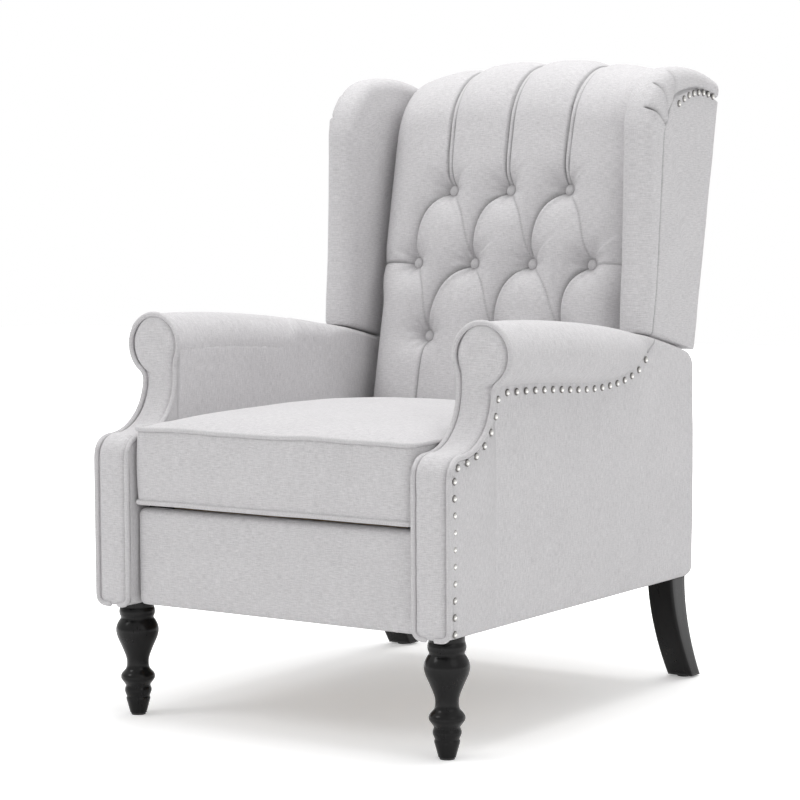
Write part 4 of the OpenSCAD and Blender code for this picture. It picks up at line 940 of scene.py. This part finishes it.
def wing_grid():
    """Rows go in from the edge: 74 mm square to it, then straight to the wing's lower rear corner.

    Gives the points, each one's depth from the edge, each row's place along it, the edge's whole
    length, and the cloth map, which follows the same rows with the roll's quarter circle flat."""
    line = wing_outline()
    run = run_of(line)
    whole = run[-1]
    at = np.concatenate([np.linspace(0, 30, 16), np.linspace(34, 300, 62),
                         np.linspace(301.6, whole - 18, 190), np.linspace(whole - 17, whole, 18)])
    line = np.stack([np.interp(at, run, line[:, k]) for k in (0, 1)], 1)
    way = np.gradient(line, at, axis=0)
    inward = unit(np.stack([way[:, 1], -way[:, 0]], 1))
    inward = mix(inward, np.array([0.98, -0.2]), (1 - ease(at / 60))[:, None])
    inward = mix(inward, -np.array([math.sin(LEAN), math.cos(LEAN)]), ease((at - whole + 90) / 90)[:, None])
    inward = unit(inward)[:, None]
    turn = np.linspace(0, math.pi / 2, 15)
    deep = np.concatenate([WING_R * (1 - np.cos(turn)), np.linspace(WING_R, WING_DEEP, 38)[1:]])
    flat_run = np.concatenate([WING_R * turn, deep[15:] + WING_R * (math.pi / 2 - 1)])
    near = line[:, None] + inward * deep[None, :, None]
    reach = rear_point(WING_REAR_LOW) - near[:, -1:]
    share = np.linspace(0, 1, 26)[None, 1:]
    rest = near[:, -1:] + reach * share[..., None]
    past = WING_DEEP + np.linalg.norm(reach, axis=2) * share
    cloth = np.concatenate([line[:, None] + inward * flat_run[None, :, None],
                            rest + inward * (flat_run[-1] - WING_DEEP)], 1)
    depth = np.concatenate([np.broadcast_to(deep, (len(at), len(deep))), past], 1)
    return np.concatenate([near, rest], 1), depth, at[:, None], whole, cloth


# %% Wing covers
def wing_pleats(at, d, seam):
    """Three pleats on the roll: each rises before its line, falls sharply after it and has painted shade on
    it.
    """
    folds, dark = np.zeros((2,) + d.shape)
    for start, rise in PLEATS:
        line = start + rise * (1 - bell(np.maximum(seam - d, 0), 15, 1))
        off = (at - line) / (1 + 0.8 * ease(d / 60))
        fade = (0.55 + 0.45 * ease(d / 22)) * ease((d - 2) / 7) * (d < seam)
        after, before = bell(np.maximum(off, 0), 5.0, 1.3), bell(np.maximum(-off, 0), 8, 1)
        step = np.where(off > 0, -7.5 * after, 3.8 * before)
        folds += fade * (step - 3.5 * bell(off, 1.7))
        dark = np.maximum(dark, np.minimum(1.35 * fade, 1) * bell(off - 0.5, 2.2))
    return folds, dark


def wing_cover(side, way):
    flat, d, at, whole, cloth = wing_grid()
    y, z = flat[..., 0], flat[..., 1]
    seam = np.interp(at, SEAM_AT + [whole], SEAM_IN)
    power = mix(2.0, 2.5, ease((at - 400) / 60))
    rolled = WING_R * (1 - np.abs(1 - np.clip(d / WING_R, 0, 1)) ** power) ** (1 / power)
    tip = ease((at - whole + 22) / 22)
    ends = (1 - 0.3 * quarter((9 - at) / 9)) * (1 - 0.34 * quarter(tip) * (d < seam + 3))
    proud = 2.6 * np.sin(math.pi * np.clip(d / seam, 0, 1)) ** 0.8 * (d < seam)
    folds, dark = wing_pleats(at, d, seam)
    # Painted shade along the seam between the roll and the outer panel, fainter along the top.
    off = np.where(d < seam, (seam - d) / 1.4, (d - seam) / 3.0)
    dark = np.maximum(dark, (0.72 - 0.5 * ease((at - 400) / 50)) * bell(off, 1, 1.4))
    gathers = 0.9 * np.exp(-at / 16) * np.sin(d * 0.55) * (d < seam) * ease(d / 10)
    soft = 0.45 * uneven(y, z, 95.0, 2.0) * ease(d / 26)
    outer = (rolled + proud - 7.0 * ease((d - seam + 5) / 5) + 5.2 * ease((d - seam) / 5)
             + (folds + gathers) * ease(d / 3) + soft)
    inner = rolled + 1.8 * ease((d - 22) / 40) * ease(at / 30) + gathers * 0.8 + soft
    y = y + 7 * tip * (1 - ease((d - seam + 4) / 4))
    out, inn = [grid_of((WING_X + x * ends) * way, y, z) for x in (outer, -inner)]
    low, rear = [np.linspace(inn[k], out[k], 8, axis=0) for k in (0, -1)]
    return build("wing_cover_" + side, [out, inn, low, rear], "back", ["wing_" + side],
                 maps=[cloth, cloth, lengths(low), lengths(rear)], folds=dark)


for piece in both_sides(wing_cover):
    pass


def wing_nail_places():
    """Eight along the top behind the pleats, on two parabolas that meet at their highest point."""
    y = np.linspace(WING_FRONT + 122, WING_FRONT + 240, 8)
    peak = WING_FRONT + 197
    fall = np.where(y < peak, 20 * ((peak - y) / 75) ** 2, 6 * ((y - peak) / 47) ** 2)
    return np.stack([y, WING_HIGH - 17 - fall], 1)


for side, way in SIDES:
    nails("wing_nail_heads_" + side, WING_X + WING_R - 1.6, wing_nail_places(), way, "back",
          ["wing_nails_" + side])

# %% [markdown]
# ## Seat cushion and footrest
#
# The seat is a boxed cushion: a top and a bottom panel joined by a band, with a welt in
# both seams. The cover is six cloth panels on a box with rounded corners. Its seams are
# held and the panels are blown up a little by the cloth solver, as the filling does.

# %% Boxed covers
def box_panels(xs, ys, zs, corner):
    """Six grids round a box. In plan each corner square of that size is bent to a quarter disc."""
    middle = np.array([0.0, (ys[0] + ys[-1]) / 2])
    half = np.array([xs[-1], (ys[-1] - ys[0]) / 2])

    def bend(points):
        plan = points[..., :2] - middle
        p, q = np.moveaxis(np.clip((np.abs(plan) - (half - corner)) / corner, 0, 1), -1, 0)
        both = ((p > 0) & (q > 0))[..., None]
        disc = np.stack([p * np.sqrt(1 - q * q / 2), q * np.sqrt(1 - p * p / 2)], -1)
        plan = np.sign(plan) * np.where(both, half - corner + corner * disc, np.abs(plan))
        return np.concatenate([plan + middle, points[..., 2:]], -1)

    sheets = ([grid_of(xs, ys[:, None], z) for z in (zs[-1], zs[0])]
              + [grid_of(xs, y, zs[:, None]) for y in (ys[0], ys[-1])]
              + [grid_of(x, ys, zs[:, None]) for x in (xs[0], xs[-1])])
    axes = [[0, 1], [0, 1], [0, 2], [0, 2], [1, 2], [1, 2]]
    return [bend(s) for s in sheets], [s[..., k] for s, k in zip(sheets, axes)]


def swell(piece, held, pressure, cap, frames):
    """Blows up a closed cover with the cloth solver while the held points stay.

    No point moves further than cap metres."""
    mesh = piece.data

    def places(source):
        found = np.empty(len(mesh.vertices) * 3)
        source.vertices.foreach_get("co", found)
        return found.reshape(-1, 3)

    before = places(mesh)
    group = piece.vertex_groups.new(name="seams")
    group.add([int(k) for k in np.nonzero(held(before))[0]], 1.0, "REPLACE")
    solver = piece.modifiers.new("filling", "CLOTH")
    rules = solver.settings
    rules.quality, rules.mass = 6, 0.25
    rules.use_pressure, rules.uniform_pressure_force = True, pressure
    rules.tension_stiffness = rules.compression_stiffness = 22
    rules.bending_stiffness, rules.vertex_group_mass = 1.5, "seams"
    rules.effector_weights.gravity = 0
    solver.point_cache.frame_start, solver.point_cache.frame_end = 1, frames
    scene = bpy.context.scene
    for number in range(1, frames + 1):
        scene.frame_set(number)
    move = places(piece.evaluated_get(bpy.context.evaluated_depsgraph_get()).data) - before
    far = np.linalg.norm(move, axis=1)[:, None]
    move *= np.minimum(1, cap / np.maximum(far, 1e-9))
    piece.modifiers.remove(solver)
    piece.vertex_groups.remove(group)
    mesh.vertices.foreach_set("co", (before + move).ravel())
    mesh.update()
    scene.frame_set(1)
    print(piece.name, "swelled by up to", round(float(far.max()) * 1000, 1), "mm, kept within", cap * 1000)


# %% Seat cushion
SEAT_HALF, SEAT_FRONT, SEAT_REAR, SEAT_LOW, SEAT_HIGH, SEAT_CORNER = 253.5, -442.0, 108.0, 334.0, 448.0, 15.0
SEAT_MID, SEAT_REACH = (SEAT_FRONT + SEAT_REAR) / 2, (SEAT_REAR - SEAT_FRONT) / 2


def sway(x, y):
    """A seam is never quite straight: it rises and falls by about a millimetre."""
    return 1.5 * uneven(x, y, 230.0, 1.0)


def seat_seams(points):
    """The points of the cover that its seams and its underside hold."""
    x, y, z = (points * 1000 + [0, MIDDLE_Y, 0]).T
    rim = np.maximum(np.abs(x) / SEAT_HALF, np.abs(y - SEAT_MID) / SEAT_REACH) > 0.98
    return (rim & (np.abs(z - sway(x, y) - SEAT_HIGH) < 0.8)) | (z < SEAT_LOW + 1.2)


def seat_cushion():
    """The top rises by 23 mm as a product of two flat arches, and the band swells by 2 mm."""
    sides = [(-SEAT_HALF, SEAT_HALF, 73), (SEAT_FRONT, SEAT_REAR, 79), (SEAT_LOW, SEAT_HIGH, 17)]
    panels, charts = box_panels(*[np.linspace(*side) for side in sides], SEAT_CORNER)
    shaped = []
    for p in panels:
        x, y, z = np.moveaxis(p, -1, 0)
        a, b = np.abs(x / SEAT_HALF), np.abs((y - SEAT_MID) / SEAT_REACH)
        t = (z - SEAT_LOW) / (SEAT_HIGH - SEAT_LOW)
        inside = np.clip((1 - a ** 3.4) * (1 - b ** 3.4), 0, 1)
        rise = np.where(t > 0.999, 23 * inside ** 0.62, 0)
        on_band = (np.maximum(a, b) > 0.93) & (t > 0.001) & (t < 0.999)
        grow = np.where(on_band, 2.2 * np.sin(math.pi * t), 0)
        lumps = 0.8 * uneven(x, y, 150.0) * inside * (t > 0.5)
        shaped.append(grid_of(x + np.sign(x) * a ** 12 * grow, y + np.sign(y - SEAT_MID) * b ** 12 * grow,
                              z + rise + lumps + sway(x, y) * (0.3 + 0.7 * t)))
    return build("seat_cover", shaped, "seat", ["seat_cushion"], maps=charts)


seat = seat_cushion()
swell(seat, seat_seams, pressure=3.0, cap=0.007, frames=18)


def seat_welts():
    """A closed cord round each seam of the band, on a rectangle with rounded corners."""
    half, front, rear, r = SEAT_HALF + 0.4, SEAT_FRONT - 0.8, SEAT_REAR + 0.8, SEAT_CORNER
    turn = np.linspace(0, math.pi / 2, 14)
    centres = [(half - r, rear - r), (r - half, rear - r), (r - half, front + r), (half - r, front + r)]
    line = np.concatenate([arc(centre, r, turn + k * math.pi / 2) for k, centre in enumerate(centres)])
    line = even(np.concatenate([line, line[:1]]), LINE_STEP)
    rings = []
    for z, share in ((SEAT_HIGH, 1.0), (SEAT_LOW + 2, 0.3)):
        path = np.column_stack([line, z + sway(*line.T) * share])
        grid = tube(path, 3.8)
        grid[0] = grid[-1] = path[0] + (grid[1] - path[1])
        rings.append(grid)
    return build("seat_welts", rings, "seat", material=LINEN_WELT)


seat_welts()

# %% Footrest
def footrest_cover():
    """A padded panel: a rounded slab whose front face is crowned by 2.6 mm in the middle."""
    half, low, high, back, face = 254.0, BODY_Z + 1, 326.0, -409.0, -437.0
    y = np.array([back, -413, -420, -427, -431.5, -434, -435.6, -436.4, -436.8, face])
    inset = np.array([2.0, 0.2, 0.0, 0.0, 1.2, 3.6, 8.0, 16.0, 30.0, 52.0])
    x, z, _ = rounded_loop(-half + inset, half - inset, low + inset, high - inset,
                           np.maximum(10 - inset * 0.12, 5), side=30)
    rim = grid_of(x, y[:, None], z)
    middle = np.array([0, 0, (low + high) / 2])
    share = np.linspace(0.999, 0, 14)[1:, None, None]
    front = mix(middle, rim[-1], share) * [1, 0, 1] + [0, 1, 0] * (face - 2.6 * (1 - share ** 2))
    rear = mix(middle + [0, back, 0], rim[0], np.linspace(0, 1, 5)[:-1, None, None])
    grid = np.concatenate([rear, rim, front])
    chart = np.stack([grid[..., 0], grid[..., 2] + grid[..., 1] * 0.5], -1)
    return build("footrest_cover", [grid], "footrest", ["footrest_pad"], maps=[chart])


footrest_cover()

# %% [markdown]
# ## Outside of the back, rear panel and deck
#
# The outside of the back and the rear of the body are single panels of cloth drawn tight
# over the frame, with turned edges. Each is a thin slab whose face swells a little between
# its fixed edges. The deck under the cushion is a grey lining cloth that dips slightly.

# %% Rear panels and deck
INNER = np.array([[0.0], [0.5]])
DECK_HALF, DECK_FRONT, DECK_REAR, DECK_DIP = 233.6, -391.9, 187.9, 1.5
OUTSIDE_LOW, OUTSIDE_HIGH, OUTSIDE_THICK, REAR_PANEL_Y = 262, 651, 3.0, 282


def tight_panel(name, half, low, high, place, thick, body, replaces, swelling=2.0):
    """A thin slab across x: place(x, v, depth) sets it in space. Its face swells by two arches."""
    inset = np.array([0.0, 0.0, 0.5, 1.6])
    depth = np.array([0.0, 0.55, 0.86, 1.0])[:, None] * thick
    x, v, _ = rounded_loop(-half + inset, half - inset, low + inset, high - inset, 6.0, side=30)
    middle = (low + high) / 2
    share = np.linspace(1, 0, 16)[1:, None]
    xs, vs = x[-1] * share, mix(middle, v[-1], share)
    arch = (1 - (xs / half) ** 2) * (1 - ((vs - middle) / (high - middle)) ** 2)
    raised = thick + swelling * arch + 0.3 * uneven(xs, vs, 170.0) * arch
    x_in, v_in = x[0] * INNER, mix(middle, v[0], INNER)
    grid = np.concatenate([place(x_in, v_in, 0 * x_in), place(x, v, depth + 0 * x), place(xs, vs, raised)])
    chart = np.stack([np.concatenate([x_in, x, xs]), np.concatenate([v_in, v, vs])], -1)
    return build(name, [grid], body, replaces, maps=[chart])


def deck_cover():
    """The lining over the springs: a slab with a hem round its edge, its middle dipping by 1.5 mm."""
    inset = np.array([27.0, 26.0, 0.0, 0.0, 0.8])
    z = np.array([330.4, 326.7, 326.7, 332.8, 333.6])
    x, y, _ = rounded_loop(-DECK_HALF + inset, DECK_HALF - inset, DECK_FRONT + inset, DECK_REAR - inset,
                           3.0, side=24)
    rim = grid_of(x, y, z[:, None])
    middle = np.array([0, (DECK_FRONT + DECK_REAR) / 2, 0])
    share = np.linspace(1, 0, 12)[1:, None, None]
    top = mix(middle + [0, 0, z[-1]], rim[-1], share) - [0, 0, 1] * (DECK_DIP * (1 - share ** 2))
    under = mix(middle + [0, 0, z[0]], rim[0], INNER[..., None])
    return build("deck_cover", [np.concatenate([under, rim, top])], "seat", ["seat_deck"], DECK)


def behind_back(x, v, depth):
    return on_back(x, v, -depth)


deck_cover()
tight_panel("outside_back_low", 252, 2, OUTSIDE_LOW, behind_back, OUTSIDE_THICK, "back", [], swelling=1.5)
tight_panel("outside_back_cover", 260, OUTSIDE_LOW - 4, OUTSIDE_HIGH, behind_back, OUTSIDE_THICK, "back",
            ["back_outside_panel"])
for side, way in SIDES:
    tight_panel("back_edge_cover_" + side, 13, 194, OUTSIDE_LOW,
                lambda x, v, depth: on_back(way * (250.4 + depth), v, 13 + x), 2.0, "back", [], swelling=0.3)
tight_panel("rear_panel_cover", ARM_IN, BODY_Z + 1, 399,
            lambda x, v, depth: grid_of(x, REAR_PANEL_Y + depth, v), 6.0, "base", ["rear_panel"])

# %% [markdown]
# ## Legs
#
# The front legs are turned: collar, bulb, waist, ring, bead and foot. The profile is a
# smooth curve through the turner's key points, spun on its axis. The rear legs are sabre
# legs: a square with eased corners that sweeps back towards the floor.

# %% Legs
LEG_TOP, LEG_X, LEG_Y = 176.9, 284.5, -403.0
SABRE_IN, SABRE_OUT, SABRE_Y, SABRE_SWEEP, SABRE_LONG = 258, 304, 261, 64, 174
TURNED = [(12.6, 3), (14, 8), (16.4, 17), (18.5, 25), (17.6, 28.6), (18.4, 31), (20.3, 36), (20.6, 40),
          (18.9, 45.6), (20.5, 49), (25.2, 55.5), (26.2, 60), (24.6, 64.6), (18.5, 72), (16.9, 80),
          (17.6, 88.5), (20.6, 97.5), (25.4, 109), (30.3, 120), (32.5, 128), (33, 134), (31.6, 140),
          (28.6, 146), (26, 150), (25.6, 153), (27.2, 157), (27.8, 162), (26.8, 166.5), (26, 169),
          (26, LEG_TOP)]


def smooth_profile(keys, per_span=6):
    """A cubic through each pair of key points, its slopes half the step between their neighbours."""
    p = np.asarray(keys, float)
    before, after = np.vstack([p[:1], p[:-2]]), np.vstack([p[2:], p[-1:]])
    a, b = p[:-1], p[1:]
    slope_a, slope_b = (b - before) / 2, (after - a) / 2
    t = np.linspace(0, 1, per_span + 1)[:-1, None, None]
    h = ((2 * t ** 3 - 3 * t ** 2 + 1) * a + (t ** 3 - 2 * t ** 2 + t) * slope_a
         + (3 * t ** 2 - 2 * t ** 3) * b + (t ** 3 - t ** 2) * slope_b)
    return np.vstack([h.transpose(1, 0, 2).reshape(-1, 2), p[-1:]])


def front_leg(side, way):
    profile = np.vstack([[0, 3], [11, 3], smooth_profile(TURNED), [0, LEG_TOP]])
    turn = np.linspace(0, 2 * math.pi, 49)
    r, z = profile[:, :1], profile[:, 1:]
    grid = grid_of(LEG_X * way + r * np.cos(turn), LEG_Y + r * np.sin(turn), z)
    return build("turned_leg_" + side, [grid], "base", ["front_leg_" + side], BLACK)


def rear_leg(side, way):
    """The leg's middle line moves back by 64 mm as the power 1.8 of the way down."""
    t = np.linspace(0, 1, 40)
    middle = SABRE_Y + SABRE_SWEEP * t ** 1.8
    deep = mix(50, 32, t)
    x, y, _ = rounded_loop(SABRE_IN, SABRE_OUT, middle - deep / 2, middle + deep / 2, 4.5, side=3)
    grid = capped(grid_of(x * way, y, (BODY_Z - SABRE_LONG * t)[:, None]))
    return build("sabre_leg_" + side, [grid], "base", ["rear_leg_" + side], BLACK)


both_sides(front_leg)
both_sides(rear_leg)

# %% [markdown]
# ## Floor and light
#
# The chair stands in a white studio. The floor is pale and takes the soft shadow, and it
# fades to plain white with distance so that no edge shows. The world is white to the
# camera and to mirrors, and gives an even light a little below that. A soft lamp from the
# front left shapes the folds, and a weak one from the right and a wide one above fill them.

# %% Floor
def studio_floor():
    """A square of 18 m. Its glow, which only direct rays see, grows from half a metre out."""
    finish = Finish("studio_floor", Roughness=0.9, Emission_Strength=1.0)
    where = finish.place()
    x = finish.node("ShaderNodeSeparateXYZ", {}, {0: where})
    y = x.other(1)
    speck = finish.noise(where, 30.0)
    finish.feed("Base Color", finish.blend(speck, (0.93, 0.93, 0.93, 1), (0.95, 0.95, 0.95, 1)))
    far = ((x * x + y * y) ** 0.5 - 0.5) / 0.9
    glow = (far.maths("MAXIMUM", far, 0.0) * 0.9 + 0.3) * finish.direct_rays()
    finish.feed("Emission Color", finish.blend(glow, (0, 0, 0, 1), (1, 1, 1, 1)))
    sheet = grid_of(*np.meshgrid(*[np.linspace(-9000, 9000, 13)] * 2), 0)
    floor = build("studio_floor", [sheet], None, (), finish.material, closed=False)


studio_floor()

# %% Light
def lamp(name, place, aim_at, size, watts):
    data = bpy.data.lights.new(name, "AREA")
    data.shape, data.size, data.energy = "DISK", size, watts
    thing = bpy.data.objects.new(name, data)
    way = Vector(aim_at) - Vector(place)
    thing.matrix_world = Matrix.Translation(Vector(place)) @ way.to_track_quat("-Z", "Y").to_matrix().to_4x4()
    bpy.context.collection.objects.link(thing)


def light_sky(sky, strength):
    """White to direct rays, and an even light of the given strength to all others."""
    sky.tree.nodes.clear()
    soft, plain = [sky.node("ShaderNodeBackground", {}, {"Color": (1, 1, 1, 1), "Strength": value})
                   for value in (strength, 1.0)]
    choice = sky.node("ShaderNodeMixShader", {}, {0: sky.direct_rays(), 1: soft, 2: plain})
    sky.node("ShaderNodeOutputWorld", {}, {"Surface": choice})


lamp("key", (-2.4, -3.0, 3.6), (0, 0, 0.5), 1.7, 36)
lamp("side", (3.6, -1.2, 2.6), (0, 0, 0.5), 2.6, 15)
lamp("top", (0.2, 0.4, 3.9), (0, -0.1, 0.5), 2.8, 80)
world = bpy.data.worlds.new("studio")
bpy.context.scene.world = world
world.use_nodes = True
light_sky(Recipe(world.node_tree), 0.66)
bpy.context.scene.view_settings.view_transform = "Standard"
print("studio lit")
